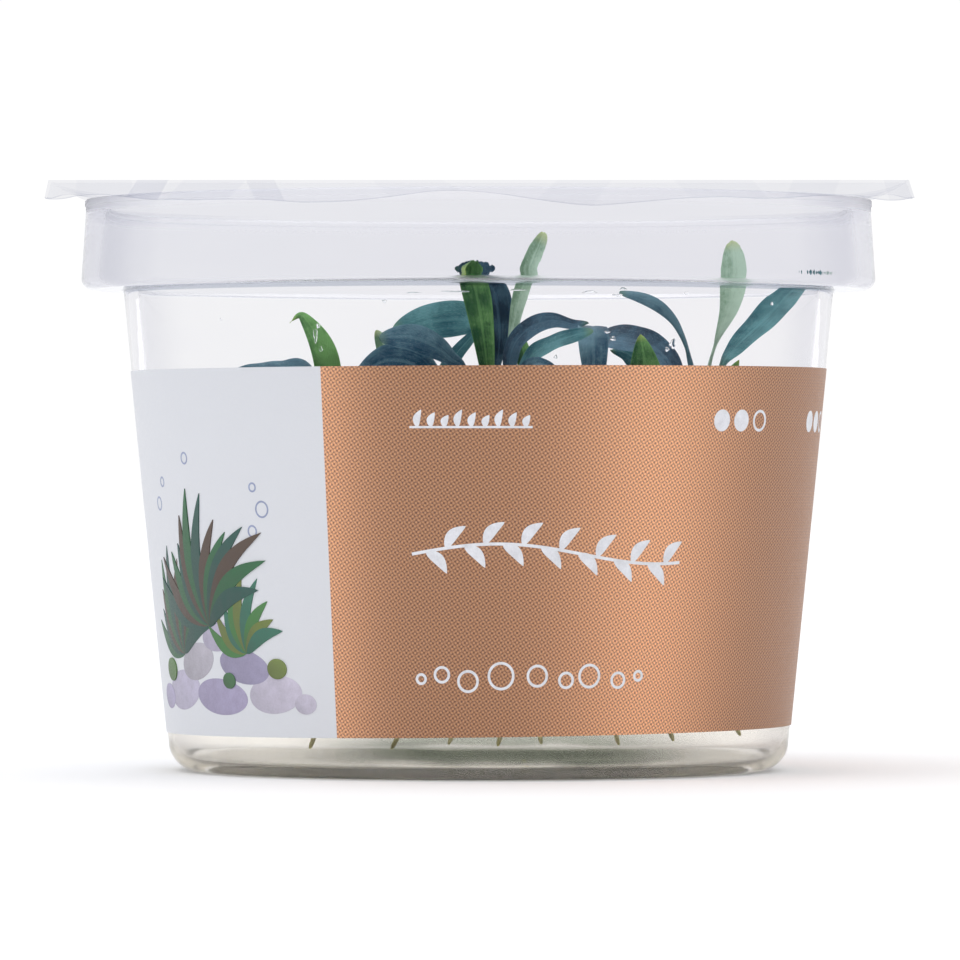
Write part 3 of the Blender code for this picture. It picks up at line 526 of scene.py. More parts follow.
def mottle_group():
    """Cloudy variation: noise on object coordinates, stretched along Z, spread between two values."""
    found = bpy.data.node_groups.get("mottle")
    if found:
        return found
    group, given, out = new_group("mottle", (("Scale", "Float", 400.0), ("Stretch", "Float", 1.0),
                                             ("Detail", "Float", 3.0), ("Low", "Float", 0.0),
                                             ("High", "Float", 1.0)), (("Value", "Float"),))
    place = node(group, "TexCoord").outputs["Object"]
    spread = node(group, "CombineXYZ", {"X": 1.0, "Y": 1.0, "Z": given["Stretch"]}).outputs[0]
    place = node(group, "VectorMath", {0: place, 1: spread}, operation="MULTIPLY").outputs[0]
    cloud = node(group, "TexNoise", {"Vector": place, "Scale": given["Scale"],
                                     "Detail": given["Detail"]}).outputs[0]
    value = node(group, "MapRange", {"Value": cloud, "From Min": 0.3, "From Max": 0.7, "To Min": given["Low"],
                                     "To Max": given["High"]}).outputs[0]
    group.links.new(value, out["Value"])
    return group


def mottled(tree, scale, detail):
    return node(tree, "Group", {"Scale": scale, "Detail": detail}, node_tree=mottle_group()).outputs[0]


def uv_place(tree):
    return node(tree, "UVMap", uv_map="pattern").outputs[0]


def dot_screen_group():
    """A printer's dot screen: the product of two sine waves across a turned place, cut at a level."""
    found = bpy.data.node_groups.get("dot screen")
    if found:
        return found
    group, given, out = new_group("dot screen", (("Place", "Vector", (0, 0, 0)), ("Pitch", "Float", 0.37),
                                                 ("Turn", "Float", 0.5), ("Cover", "Float", 0.0)),
                                  (("Mask", "Float"),))
    turned_place = node(group, "VectorRotate", {"Vector": given["Place"], "Angle": given["Turn"]},
                        rotation_type="Z_AXIS").outputs[0]
    waves = math_of(group, "DIVIDE", 2 * math.pi, given["Pitch"])
    scaled = node(group, "VectorMath", {0: turned_place, "Scale": waves}, operation="SCALE").outputs[0]
    split = node(group, "SeparateXYZ", {0: scaled}).outputs
    product = times(group, math_of(group, "SINE", split[0]), math_of(group, "SINE", split[1]))
    level = minus(group, product, given["Cover"])
    group.links.new(ease(group, level, -0.35, 0.35), out["Mask"])
    return group


def blade_group():
    """A leaf's skin: cloudy green between two shades, lighter to one side as painted shade, a paler midrib,
    fine side veins, a painted highlight along the rim, stalk and tip.
    """
    found = bpy.data.node_groups.get("leaf blade")
    if found:
        return found
    group, given, out = new_group("leaf blade", (("Deep", "Color", (0, 0, 0, 1)),
                                                 ("Light", "Color", (1, 1, 1, 1)),
                                                 ("Stalk", "Color", (1, 1, 1, 1)), ("Veins", "Float", 0.3)),
                                  (("Color", "Color"), ("Roughness", "Float"), ("Height", "Float")))
    place = uv_place(group)
    across, along = node(group, "SeparateXYZ", {0: place}).outputs[:2]
    tone = node(group, "Attribute", attribute_name="tone").outputs["Fac"]
    off_rib = times(group, size_of(group, minus(group, across, 0.5)), 2.0)
    coarse = mottled(group, 420.0, 4.0)
    fine = mottled(group, 3200.0, 2.0)
    slant = minus(group, times(group, along, VEIN_WAVES), times(group, off_rib, VEIN_SLANT))
    wave = size_of(group, math_of(group, "SINE", times(group, slant, 2 * math.pi)))
    side_veins = minus(group, 1.0, ease(group, wave, 0.0, 0.35))
    lanes = node(group, "Mapping", {"Vector": place, "Scale": (26.0, 3.0, 1.0)}).outputs[0]
    streaks = node(group, "TexNoise", {"Vector": lanes, "Scale": 1.0, "Detail": 3.0}).outputs[0]
    shade = plus(group, times(group, coarse, 0.45), times(group, streaks, 0.5))
    shade = plus(group, shade, minus(group, times(group, tone, 0.6), 0.3))
    shade = plus(group, shade, times(group, minus(group, fine, 0.5), 0.15))
    # painted shade: each blade is lighter towards one side, as light falls across its channelled blade
    shade = plus(group, shade, times(group, minus(group, across, 0.5), 0.4))
    colour = blend_colours(group, ease(group, shade, 0.1, 0.95), given["Deep"], given["Light"])
    rib = ease(group, off_rib, 0.16, 0.02)
    in_blade = ease(group, along, 0.14, 0.3)
    veins = times(group, times(group, side_veins, in_blade), given["Veins"])
    colour = blend_colours(group, times(group, veins, 0.5), colour, given["Deep"])
    colour = blend_colours(group, times(group, rib, 0.35), colour, given["Light"])
    # painted highlight: paler margins, where light glints along the curled rim of the blade
    rim = times(group, ease(group, off_rib, 0.86, 1.0), 0.35)
    colour = blend_colours(group, rim, colour, given["Light"])
    colour = blend_colours(group, ease(group, along, 0.34, 0.06), colour, given["Stalk"])
    colour = blend_colours(group, ease(group, along, 0.93, 1.0, 0.0, 0.55), colour, given["Stalk"])
    group.links.new(colour, out["Color"])
    group.links.new(ease(group, coarse, 0.0, 1.0, 0.42, 0.58), out["Roughness"])
    height = plus(group, times(group, veins, -1.0), times(group, streaks, 0.6))
    group.links.new(plus(group, height, times(group, fine, 0.3)), out["Height"])
    return group


def new_material(name):
    """An empty node material with its Principled shader, taken up again if it is already there."""
    surface = bpy.data.materials.get(name + "_finish") or bpy.data.materials.new(name + "_finish")
    surface.name = name + "_finish"
    surface.use_nodes = True
    tree = surface.node_tree
    tree.nodes.clear()
    shader = tree.nodes.new("ShaderNodeBsdfPrincipled")
    end = tree.nodes.new("ShaderNodeOutputMaterial")
    tree.links.new(shader.outputs[0], end.inputs["Surface"])
    return surface, tree, shader


# --- finishes

# Indices of refraction. Those of the plastic, film and gel are low, so that what lies behind hardly bends.
CUP_IOR = 1.08
FILM_IOR = 1.0
GEL_IOR = 1.03
WATER_IOR = 1.33

# Heights in metres over which parts of the cup's finish set in or, where the first is the higher, die away.
COLLAR_FROM = (0.0536, 0.0546)
COLLAR_SKIN_FROM = (0.05396, 0.05402)
# heights of the painted shade line in the corner under the ledge
CORNER_FROM, CORNER_TO = (0.05345, 0.0536), (0.05399, 0.05396)
LEDGE_FROM, LEDGE_TO = (0.0538, 0.05392), (0.0547, 0.05452)
RIM_FROM = (0.0624, 0.0629)
LANES_BELOW = (0.062, 0.056)

# Shares of facing away from the eye over which the wall counts as slanting, and its bands rise and fall.
SLANTING = (0.45, 0.72)
BAND_RISE, BAND_FALL = (0.4, 0.47), (0.72, 0.64)
RIGHT_EDGE = (0.0395, 0.0415)  # X in metres where the slanting tint fades to a fifth
RIGHT_HALF = (-0.03, 0.01)  # X in metres where the right tint sets in
MATT = 0.5  # roughness added on the ledge's inner side and on the rim
WAVE_TINT = (0.985, 0.985, 0.99)

# Rows of the film's section over which its skirt and its painted darker edge set in and end.
SKIRT_FROM, SKIRT_TO = (2.9, 3.05), (4.6, 4.5)
EDGE_FROM, EDGE_TO = (3.92, 4.02), (5.1, 4.98)
EDGE_SHADE_TINT = (0.8, 0.81, 0.85)
FOLD_SOFTNESS = 0.15  # how far a fold's sides blur, in millimetres

# Heights in metres where the gel's painted shade of the cup's shadow seen through it ends above and below,
# and its reach to either side.
GEL_SHADE_TOP, GEL_SHADE_FOOT = (0.0052, 0.0034), (0.0018, 0.0026)
GEL_SHADE_REACH, GEL_SHADE_X = (0.027, 0.009), 0.003


def cup_finish(settings):
    """Clear plastic, whose collar is milkier and rougher, with fine upright lanes on its inner side.

    The corner under the ledge has a painted shade, a dark bluish line where it faces the eye. The wall is
    darker where it is seen aslant, and the ledge's inner side and the rim are matt.
    """
    surface, tree, shader = new_material("cup_plastic")
    spot = node(tree, "SeparateXYZ", {0: node(tree, "TexCoord").outputs["Object"]}).outputs
    height = spot[2]
    collar = ease(tree, height, *COLLAR_FROM)
    inside = node(tree, "Attribute", attribute_name="inside").outputs["Fac"]
    place = uv_place(tree)
    lanes = node(tree, "Mapping", {"Vector": place, "Scale": (5.0, 0.35, 1.0)}).outputs[0]
    streaks = node(tree, "TexNoise", {"Vector": lanes, "Scale": 1.0, "Detail": 1.0,
                                      "Roughness": 0.5}).outputs[0]
    slow = node(tree, "Mapping", {"Vector": place, "Scale": (0.05, 0.16, 1.0)}).outputs[0]
    waves = node(tree, "TexNoise", {"Vector": slow, "Scale": 1.0, "Detail": 2.0}).outputs[0]
    outside = minus(tree, 1.0, inside)
    outer = times(tree, outside, ease(tree, height, *COLLAR_SKIN_FROM))
    tint = blend_colours(tree, outer, (*settings.tint, 1), (*settings.collar_tint, 1))
    wavy = ease(tree, waves, 0.35, 0.65, 0.0, 0.5)
    tint = tinted(tree, wavy, tint, WAVE_TINT)
    slant = node(tree, "LayerWeight", {"Blend": 0.5}).outputs["Facing"]
    oblique = times(tree, ease(tree, slant, *SLANTING), ease(tree, spot[0], *RIGHT_EDGE, 1.0, 0.2))
    tint = tinted(tree, oblique, tint, settings.slant_tint)
    band = between(tree, slant, BAND_RISE, BAND_FALL)
    tint = tinted(tree, times(tree, band, outer), tint, settings.band_tint)
    # the wall is made a little darker towards the right
    tint = tinted(tree, ease(tree, spot[0], *RIGHT_HALF), tint, settings.right_tint)
    # painted shade: a dark bluish line in the corner under the ledge, on the near outer side only
    near = minus(tree, 1.0, node(tree, "NewGeometry").outputs["Backfacing"])
    corner = between(tree, height, CORNER_FROM, CORNER_TO)
    corner = times(tree, times(tree, corner, near), outside)
    tint = tinted(tree, corner, tint, settings.corner_shade_tint)
    rough = times(tree, collar, settings.frosting)
    rough = times(tree, rough, ease(tree, streaks, 0.3, 0.7, 0.5, 1.5))
    ledge = between(tree, height, LEDGE_FROM, LEDGE_TO)
    matt = times(tree, times(tree, ledge, inside), MATT)
    matt = math_of(tree, "MAXIMUM", matt, ease(tree, height, *RIM_FROM, 0.0, MATT))
    rough = plus(tree, plus(tree, rough, matt), settings.gloss)
    bump = node(tree, "Bump", {"Height": waves, "Strength": 1.0, "Distance": 0.00001}).outputs[0]
    lean = times(tree, minus(tree, streaks, 0.5), settings.lane_lean)
    lean = times(tree, times(tree, lean, collar), inside)
    lean = times(tree, lean, ease(tree, height, *LANES_BELOW))
    leaned = node(tree, "CombineXYZ", {"Z": lean}).outputs[0]
    leaned = node(tree, "VectorMath", {0: bump, 1: leaned}, operation="ADD").outputs[0]
    leaned = node(tree, "VectorMath", {0: leaned}, operation="NORMALIZE").outputs[0]
    fill(tree, shader, {"Base Color": tint, "Roughness": rough, "Normal": leaned,
                        "Transmission Weight": 1.0, "IOR": CUP_IOR})
    return surface


def film_finish(settings):
    """Thin sealing film: faintly milky, with painted shade on slanting folds in its skirt and along its edge.
    """
    surface, tree, shader = new_material("film_plastic")
    cloud = mottled(tree, 90.0, 3.0)
    place = uv_place(tree)
    arc, row = node(tree, "SeparateXYZ", {0: place}).outputs[:2]
    tint = blend_colours(tree, cloud, (*settings.tint, 1), (*(0.985 * value for value in settings.tint), 1))
    skirt = between(tree, row, SKIRT_FROM, SKIRT_TO)
    down = minus(tree, row, 3.0)
    # painted shade: each fold darkens the skirt where the creased film would reflect and bend the light
    for middle, half, slant, colour in FILM_FOLD_SHADES:
        spot = minus(tree, arc, middle + FRONT_ARC)
        spot = size_of(tree, minus(tree, spot, times(tree, down, slant)))
        fold = times(tree, ease(tree, spot, half + FOLD_SOFTNESS, half - FOLD_SOFTNESS), skirt)
        tint = tinted(tree, fold, tint, colour)
    # painted shade: a darker line along the film's edge
    edge = between(tree, row, EDGE_FROM, EDGE_TO)
    tint = tinted(tree, edge, tint, EDGE_SHADE_TINT)
    rough = ease(tree, cloud, 0.0, 1.0, 0.7 * settings.haze, 1.3 * settings.haze)
    fill(tree, shader, {"Base Color": tint, "Roughness": rough, "Transmission Weight": 1.0, "IOR": FILM_IOR})
    return surface


def label_finish(settings):
    """Printed label: a pale panel, then copper laid down as crossed dot screens, brighter along soft bands of
    painted highlight.

    A band adds its gain times e to the power of minus q squared, where q is the distance from its middle
    divided by its reach.
    """
    surface, tree, shader = new_material("label_paper")
    place = uv_place(tree)
    arc = node(tree, "SeparateXYZ", {0: place}).outputs[1]
    # painted highlights: the copper's level rises along each band, and is left darker as painted shade away
    # from them
    level = COPPER_LEVEL
    for middle, reach, gain in COPPER_HIGHLIGHTS:
        off = math_of(tree, "DIVIDE", minus(tree, arc, middle), reach)
        bump = math_of(tree, "EXPONENT", times(tree, times(tree, off, off), -1.0))
        level = plus(tree, level, times(tree, bump, gain))
    screens = [
        node(tree, "Group", {"Place": place, "Pitch": settings.dot_pitch * size, "Turn": turn,
                             "Cover": cover}, node_tree=dot_screen_group()).outputs[0]
        for size, turn, cover in ((1.0, 0.26, 0.0), (1.0, 1.31, 0.1), (0.92, 0.78, 0.2))
    ]
    fleck = mottled(tree, 2600.0, 2.0)
    colour = blend_colours(tree, times(tree, screens[0], 0.8), (*settings.copper, 1),
                           (*settings.dark_dot, 1))
    colour = blend_colours(tree, times(tree, screens[1], 0.7), colour, (*settings.pale_dot, 1))
    colour = blend_colours(tree, times(tree, screens[2], 0.25), colour, (0.16, 0.12, 0.14, 1))
    colour = node(tree, "VectorMath", {0: colour, "Scale": level}, operation="SCALE").outputs[0]
    panel = blend_colours(tree, times(tree, fleck, 0.16), (*settings.panel, 1), (0.62, 0.64, 0.70, 1))
    on_copper = ease(tree, arc, PANEL_EDGE - 0.03, PANEL_EDGE + 0.03)
    colour = blend_colours(tree, on_copper, panel, colour)
    rough = plus(tree, times(tree, fleck, 0.12), settings.sheen)
    bump = node(tree, "Bump", {"Height": fleck, "Strength": 0.4, "Distance": 0.00002}).outputs[0]
    fill(tree, shader, {"Base Color": colour, "Roughness": rough, "Normal": bump, "Specular IOR Level": 0.3})
    return surface


def label_back_finish():
    """The label's unprinted back: white, faintly cloudy, and thin enough for light to soak through."""
    surface, tree, shader = new_material("label_back")
    cloud = mottled(tree, 160.0, 3.0)
    colour = blend_colours(tree, cloud, (0.92, 0.91, 0.88, 1), (0.86, 0.85, 0.82, 1))
    fill(tree, shader, {"Base Color": colour, "Roughness": 0.6, "Subsurface Weight": 1.0,
                        "Subsurface Radius": (1.0, 1.0, 0.95), "Subsurface Scale": 0.002})
    return surface


def print_finish():
    """Ink of the printed motifs: its own colour at each point, worn a little by fine grain."""
    surface, tree, shader = new_material("label_print")
    ink = node(tree, "Attribute", attribute_name="ink").outputs["Color"]
    grain = mottled(tree, 5200.0, 2.0)
    cloud = mottled(tree, 900.0, 4.0)
    shade = plus(tree, times(tree, grain, 0.1), times(tree, cloud, 0.16))
    colour = blend_colours(tree, shade, ink, (0.08, 0.07, 0.08, 1))
    fill(tree, shader, {"Base Color": colour, "Roughness": ease(tree, grain, 0.0, 1.0, 0.35, 0.5)})
    return surface


def gel_finish(settings):
    """Firm cloudy gel with a cream cast, darker and greener in a low middle layer by painted shade of the
    cup's shadow.
    """
    surface, tree, shader = new_material("gel")
    spot = node(tree, "SeparateXYZ", {0: node(tree, "TexCoord").outputs["Object"]}).outputs
    cloud = mottled(tree, 90.0, 1.0)
    cloudier = tuple(0.96 * value for value in settings.gel_tint)
    tint = blend_colours(tree, cloud, (*settings.gel_tint, 1), (*cloudier, 1))
    level = plus(tree, spot[2], times(tree, cloud, 0.0006))
    aside = size_of(tree, minus(tree, spot[0], GEL_SHADE_X))
    # painted shade: the cup's shadow on the floor, seen through the gel's low middle
    low = between(tree, level, GEL_SHADE_TOP, GEL_SHADE_FOOT)
    low = times(tree, low, ease(tree, aside, *GEL_SHADE_REACH))
    tint = blend_colours(tree, low, tint, (*settings.gel_shade_tint, 1))
    fill(tree, shader, {"Base Color": tint, "Roughness": ease(tree, cloud, 0.0, 1.0, 0.16, 0.24),
                        "Transmission Weight": 0.92, "IOR": GEL_IOR, "Subsurface Weight": 1.0,
                        "Subsurface Radius": (1.0, 0.95, 0.85), "Subsurface Scale": 0.004})
    return surface


def rhizome_finish():
    """Rhizome and roots: the rhizome is olive and brown with dark flecks, and the roots are pale yellow."""
    surface, tree, shader = new_material("rhizome")
    rooty = node(tree, "Attribute", attribute_name="rooty").outputs["Fac"]
    cloud = mottled(tree, 700.0, 4.0)
    fleck = mottled(tree, 3000.0, 2.0)
    stem = blend_colours(tree, cloud, (*paint(84, 96, 38), 1), (*paint(140, 120, 66), 1))
    root = blend_colours(tree, cloud, (*paint(250, 242, 186), 1), (*paint(222, 216, 136), 1))
    colour = blend_colours(tree, rooty, stem, root)
    colour = blend_colours(tree, times(tree, fleck, 0.3), colour, (*paint(70, 54, 30), 1))
    bump = node(tree, "Bump", {"Height": cloud, "Strength": 0.7, "Distance": 0.0001}).outputs[0]
    fill(tree, shader, {"Base Color": colour, "Roughness": ease(tree, fleck, 0.0, 1.0, 0.45, 0.7),
                        "Normal": bump})
    return surface


def leaf_finish(kind, settings):
    """One kind of leaf skin, from the shared blade pattern, with a waxy sheen."""
    deep, light, stalk = LEAF_SHADES[kind]
    surface, tree, shader = new_material("leaf_" + kind)
    blade = node(tree, "Group", {"Deep": (*paint(*deep), 1), "Light": (*paint(*light), 1),
                                 "Stalk": (*paint(*stalk), 1), "Veins": settings.veins},
                 node_tree=blade_group())
    relief = blade.outputs["Height"]
    bump = node(tree, "Bump", {"Height": relief, "Strength": 0.6, "Distance": 0.00006}).outputs[0]
    fill(tree, shader, {"Base Color": blade.outputs["Color"], "Roughness": blade.outputs["Roughness"],
                        "Normal": bump, "Specular IOR Level": 0.15})
    return surface


def moisture_finish():
    """Wet marks: clear water with a faint unevenness of gloss."""
    surface, tree, shader = new_material("moisture")
    cloud = mottled(tree, 2000.0, 2.0)
    rough = ease(tree, cloud, 0.0, 1.0, 0.0, 0.05)
    fill(tree, shader, {"Base Color": (0.97, 0.98, 0.99, 1), "Roughness": rough, "Transmission Weight": 1.0,
                        "IOR": WATER_IOR})
    return surface


# --- shapes


def cup_profile():
    """The cup's section: from the middle of its floor over the rim and down to its underside's middle."""
    floor = FOOT_RECESS + FLOOR_T
    inner_base = wall_radius(floor + BASE_CORNER_H) - BODY_WALL
    inner_ledge = LEDGE_Z + LEDGE_T
    rim_r = COLLAR_TOP_R + 0.1
    inner_r = LEDGE_R - BODY_WALL
    inside = [(0, floor), (20, floor)]
    inside += quarter_turn((inner_base - 2.6, floor), (inner_base, floor + BASE_CORNER_H - 0.6), 12, True)
    low, high = inside[-1], (inner_r - 0.05, inner_ledge - 0.4)
    inside += [tuple(np.add(low, share * np.subtract(high, low))) for share in WALL_RINGS]
    inside += quarter_turn(high, (inner_r + 0.3, inner_ledge), 5, False)
    collar_in = COLLAR_BOTTOM_R - COLLAR_WALL
    inside += [(inner_r + 0.4, inner_ledge), (collar_in - 0.4, inner_ledge)]
    inside += quarter_turn((collar_in - 0.3, inner_ledge), (collar_in, inner_ledge + 0.3), 5, True)
    inside += [(collar_in - 0.01, inner_ledge + 0.5), (COLLAR_TOP_R - COLLAR_WALL, RIM_Z - 1.6)]
    inside += quarter_turn((COLLAR_TOP_R - COLLAR_WALL - 0.1, RIM_Z - 1.4),
                           (rim_r - RIM_LAND, RIM_Z - 0.7), 3, False)
    inside += [(rim_r - RIM_LAND, RIM_Z - 0.15), (rim_r - RIM_LAND + 0.15, RIM_Z)]
    outside = [(rim_r - 0.15, RIM_Z), (rim_r, RIM_Z - 0.15), (rim_r, RIM_Z - 0.7)]
    outside += [(COLLAR_TOP_R, RIM_Z - 0.8)]
    outside += [(COLLAR_TOP_R + 0.01, RIM_Z - 1.2), (COLLAR_BOTTOM_R - 0.01, LEDGE_Z + COLLAR_CORNER + 0.2)]
    outside += quarter_turn((COLLAR_BOTTOM_R, LEDGE_Z + COLLAR_CORNER),
                            (COLLAR_BOTTOM_R - COLLAR_CORNER, LEDGE_Z), 8, False)
    outside += [(COLLAR_BOTTOM_R - COLLAR_CORNER - 0.1, LEDGE_Z), (LEDGE_R + 0.4, LEDGE_Z)]
    outside += quarter_turn((LEDGE_R + 0.3, LEDGE_Z), (LEDGE_R, LEDGE_Z - 0.3), 6, True)
    outside += [(wall_radius(height), height) for height in
                LEDGE_Z - 0.3 + (BASE_CORNER_H - LEDGE_Z + 0.3) * np.array(WALL_RINGS)]
    outside += quarter_turn((FOOT_R, 0), (BASE_R, BASE_CORNER_H), 14, True)[::-1]
    ring_in = FOOT_R - FOOT_RING
    outside += [(ring_in, 0), (ring_in - 0.15, 0.05), (ring_in - 0.4, FOOT_RECESS), (0, FOOT_RECESS)]
    return inside, outside


def film_skin():
    """The film: flat over the rim, then a free border that rises left and right and folds down to its edge.

    The lift is FILM_LIFT times one minus the size of the sine of the turn. In front, two sines of the turn
    ruffle the edge, and behind, the skirt is shorter. The creases are triangle waves that grow outwards.
    """
    turn = np.linspace(0, 2 * np.pi, FILM_SECTIONS, endpoint=False)[None, :]
    top = RIM_Z + GAP + FILM_T
    lift = FILM_LIFT * (1 - np.abs(np.sin(turn)))
    waves = sum(share * np.sin(count * turn + shift) for share, count, shift in FILM_WAVES)
    ruffle = FILM_RUFFLE * waves * np.clip(-np.sin(turn), 0, 1)
    skirt = FILM_SKIRT + (FILM_BACK_SKIRT - FILM_SKIRT) * smooth_step(np.sin(turn), 0, 0.35)
    sway = 0.12 * np.sin(5 * turn + 1.0)
    half_r = (FILM_SEAL_R + FILM_FOLD_R) / 2
    edge = top + lift - skirt + ruffle
    stops = [
        (FILM_SEAL_R - 3.2, top), (FILM_SEAL_R, top), (half_r, top + 0.5 * lift), (FILM_FOLD_R, top + lift),
        (FILM_EDGE_R + sway, edge), (FILM_EDGE_R - FILM_T + sway, edge),
        (FILM_FOLD_R - FILM_T, top + lift - FILM_T), (half_r, top + 0.5 * lift - FILM_T),
        (FILM_SEAL_R, top - FILM_T), (FILM_SEAL_R - 3.2, top - FILM_T),
    ]
    corners = np.stack([np.vstack([radius + 0 * turn, height + 0 * turn]) for radius, height in stops])
    place = np.concatenate([np.linspace(k, k + 1, steps, endpoint=False)
                            for k, steps in enumerate((3, 4, 5, 10, 2, 10, 5, 4, 3))] + [[9.0]])
    first = np.minimum(place.astype(int), 8)
    part = (place - first)[:, None, None]
    radius, height = np.moveaxis(corners[first] * (1 - part) + corners[first + 1] * part, 1, 0)
    loose = np.clip((radius - FILM_SEAL_R) / (FILM_FOLD_R - FILM_SEAL_R), 0, 1)
    saw = sum(size * np.abs(((count * turn / (2 * np.pi) + shift) % 1) - 0.5) * 4 - size
              for count, shift, size in FILM_CREASES)
    radius = radius + loose * np.minimum(saw, 0.1)
    low = smooth_step(top + lift - height, 0.4, 2.0)
    height = height + 0.6 * loose * low * saw * np.abs(np.sin(turn)) - 0.05
    rings = np.stack([radius * np.cos(turn), radius * np.sin(turn), height], axis=-1)
    return skin(rings, [(0, 0, top - 0.05), (0, 0, top - FILM_T - 0.05)], place,
                np.linspace(0, 2 * np.pi, FILM_SECTIONS + 1) * LABEL_MEAN_R)


def on_label(arc, height, out=0.0):
    """Points on the label: arc runs along it from the front, height up it, and out away from the wall."""
    arc, height, out = np.broadcast_arrays(np.asarray(arc, float), np.asarray(height, float), out)
    turn = arc / LABEL_MEAN_R
    radius = wall_radius(height) + LABEL_T + 0.02 + out
    return np.stack([radius * np.sin(turn), -radius * np.cos(turn), height], axis=-1)


def label_skin():
    """The wrap: a four-cornered section that follows the leaning wall from one end round to the other."""
    turn = np.radians(np.linspace(-LABEL_REACH, LABEL_REACH, LABEL_SECTIONS))
    arc = turn * LABEL_MEAN_R
    low = LABEL_BOTTOM + LABEL_TILT_BOTTOM * np.sin(turn)
    high = LABEL_TOP + LABEL_TILT_TOP * np.sin(turn)
    rings = np.stack([on_label(arc, low, -LABEL_T), on_label(arc, low), on_label(arc, high),
                      on_label(arc, high, -LABEL_T)], axis=1)
    columns_at = (LABEL_BOTTOM, LABEL_BOTTOM, LABEL_TOP, LABEL_TOP, LABEL_BOTTOM)
    return skin(rings, rows_at=arc, columns_at=columns_at)


def printed_patch(outline, colour, shade=0.75, out=0.02):
    """A flat printed shape: its outline shrunk in steps to its middle, on the label, darker to one side."""
    outline = np.asarray(outline, float)
    middle = outline.mean(axis=0)
    share = np.array([1, 1, 0.8, 0.6, 0.4, 0.2])[:, None, None]
    spots = middle + (outline - middle) * share
    raised = np.where(np.arange(6) > 0, out, 0.0)[:, None]
    poles = on_label(middle[0], middle[1], 0.0), on_label(middle[0], middle[1], out)
    one = skin(on_label(spots[..., 0], spots[..., 1], raised), poles)
    flat = np.vstack([spots.reshape(-1, 2), middle, middle])
    slope = (flat - middle) @ np.array([0.5, 0.6]) / (np.ptp(outline, axis=0).max() + 0.01)
    slope = np.clip(0.5 + slope, 0, 1)
    tint = np.array(paint(*colour)) * (shade + (1 - shade) * slope[:, None])
    return one, np.column_stack([tint, np.ones(len(tint))])


def printed_line(path, width, colour, out=0.02):
    """A printed line: a strip of its own width carried along a path on the label."""
    path = np.asarray(path, float)
    along = unit(np.gradient(path, axis=0))
    half = np.asarray(width) * 0.5 * np.ones(len(path))
    side = np.stack([-along[:, 1], along[:, 0]], axis=1) * half[:, None]
    left, right = path - side, path + side
    rings = np.stack([on_label(left[:, 0], left[:, 1]), on_label(left[:, 0], left[:, 1], out),
                      on_label(right[:, 0], right[:, 1], out), on_label(right[:, 0], right[:, 1])], axis=1)
    one = skin(rings)
    return one, np.tile([*paint(*colour), 1.0], (len(one.points), 1))


def circle(arc, height, radius_a, radius_b=None, turn=0.0, count=40):
    """Outline of an ellipse: the cosine and the sine of an angle times its two radii, then turned."""
    angle = np.linspace(0, 2 * np.pi, count, endpoint=False)
    flat = np.column_stack([np.cos(angle) * radius_a, np.sin(angle) * (radius_b or radius_a)])
    cosine, sine = math.cos(turn), math.sin(turn)
    return flat @ np.array([[cosine, sine], [-sine, cosine]]) + (arc, height)


def blade_outline(base, tip, width):
    """Outline of a printed leaf: a sine's power gives its half width, and a sine bends its middle."""
    base, tip = np.asarray(base, float), np.asarray(tip, float)
    share = np.linspace(0, 1, 16)
    along = tip - base
    across = np.array([-along[1], along[0]]) / np.hypot(*along)
    line = base + share[:, None] * along + (0.12 * np.sin(np.pi * share) * np.hypot(*along))[:, None] * across
    half = (0.5 * width * np.sin(np.pi * share**0.8) ** 0.8)[:, None] * across
    return np.vstack([line + half, (line - half)[::-1][1:-1]])


def gel_profile():
    """The gel's section: from its top's middle up a thin rise at the wall and down inside the cup's skin.

    Its sides and floor lie 0.05 mm within the plastic, so that no film of air is left between the two.
    """
    floor = FOOT_RECESS + FLOOR_T
    inner_base = wall_radius(floor + BASE_CORNER_H) - BODY_WALL
    corner = floor + BASE_CORNER_H - 0.6
    inner_top = (LEDGE_R - BODY_WALL - 0.05, LEDGE_Z + LEDGE_T - 0.8)
    top_r = np.interp(GEL_TOP, (corner, inner_top[1]), (inner_base, inner_top[0])) + 0.05
    profile = [(0, GEL_TOP), (0.6 * top_r, GEL_TOP), (top_r - 1.2, GEL_TOP)]
    profile += quarter_turn((top_r - 1.2, GEL_TOP), (top_r, GEL_TOP + 0.5), 5, True)[1:]
    turned_in = quarter_turn((inner_base - 2.55, floor - 0.05), (inner_base + 0.05, corner), 12, True)
    return profile + turned_in[::-1] + [(0, floor - 0.05)]


def rhizome_axis(plantlet, height):
    """Points of a rhizome's axis at the given heights: a straight line with half a sine wave of bow."""
    height = np.asarray(height, float)
    share = (height - RHIZOME_FOOT_Z) / (plantlet.top[2] - RHIZOME_FOOT_Z)
    bow = 0.8 * np.sin(np.pi * share)
    x = plantlet.foot[0] + (plantlet.top[0] - plantlet.foot[0]) * share + bow
    y = plantlet.foot[1] + (plantlet.top[1] - plantlet.foot[1]) * share - bow
    return np.stack([x, y, height + 0 * share], axis=-1)


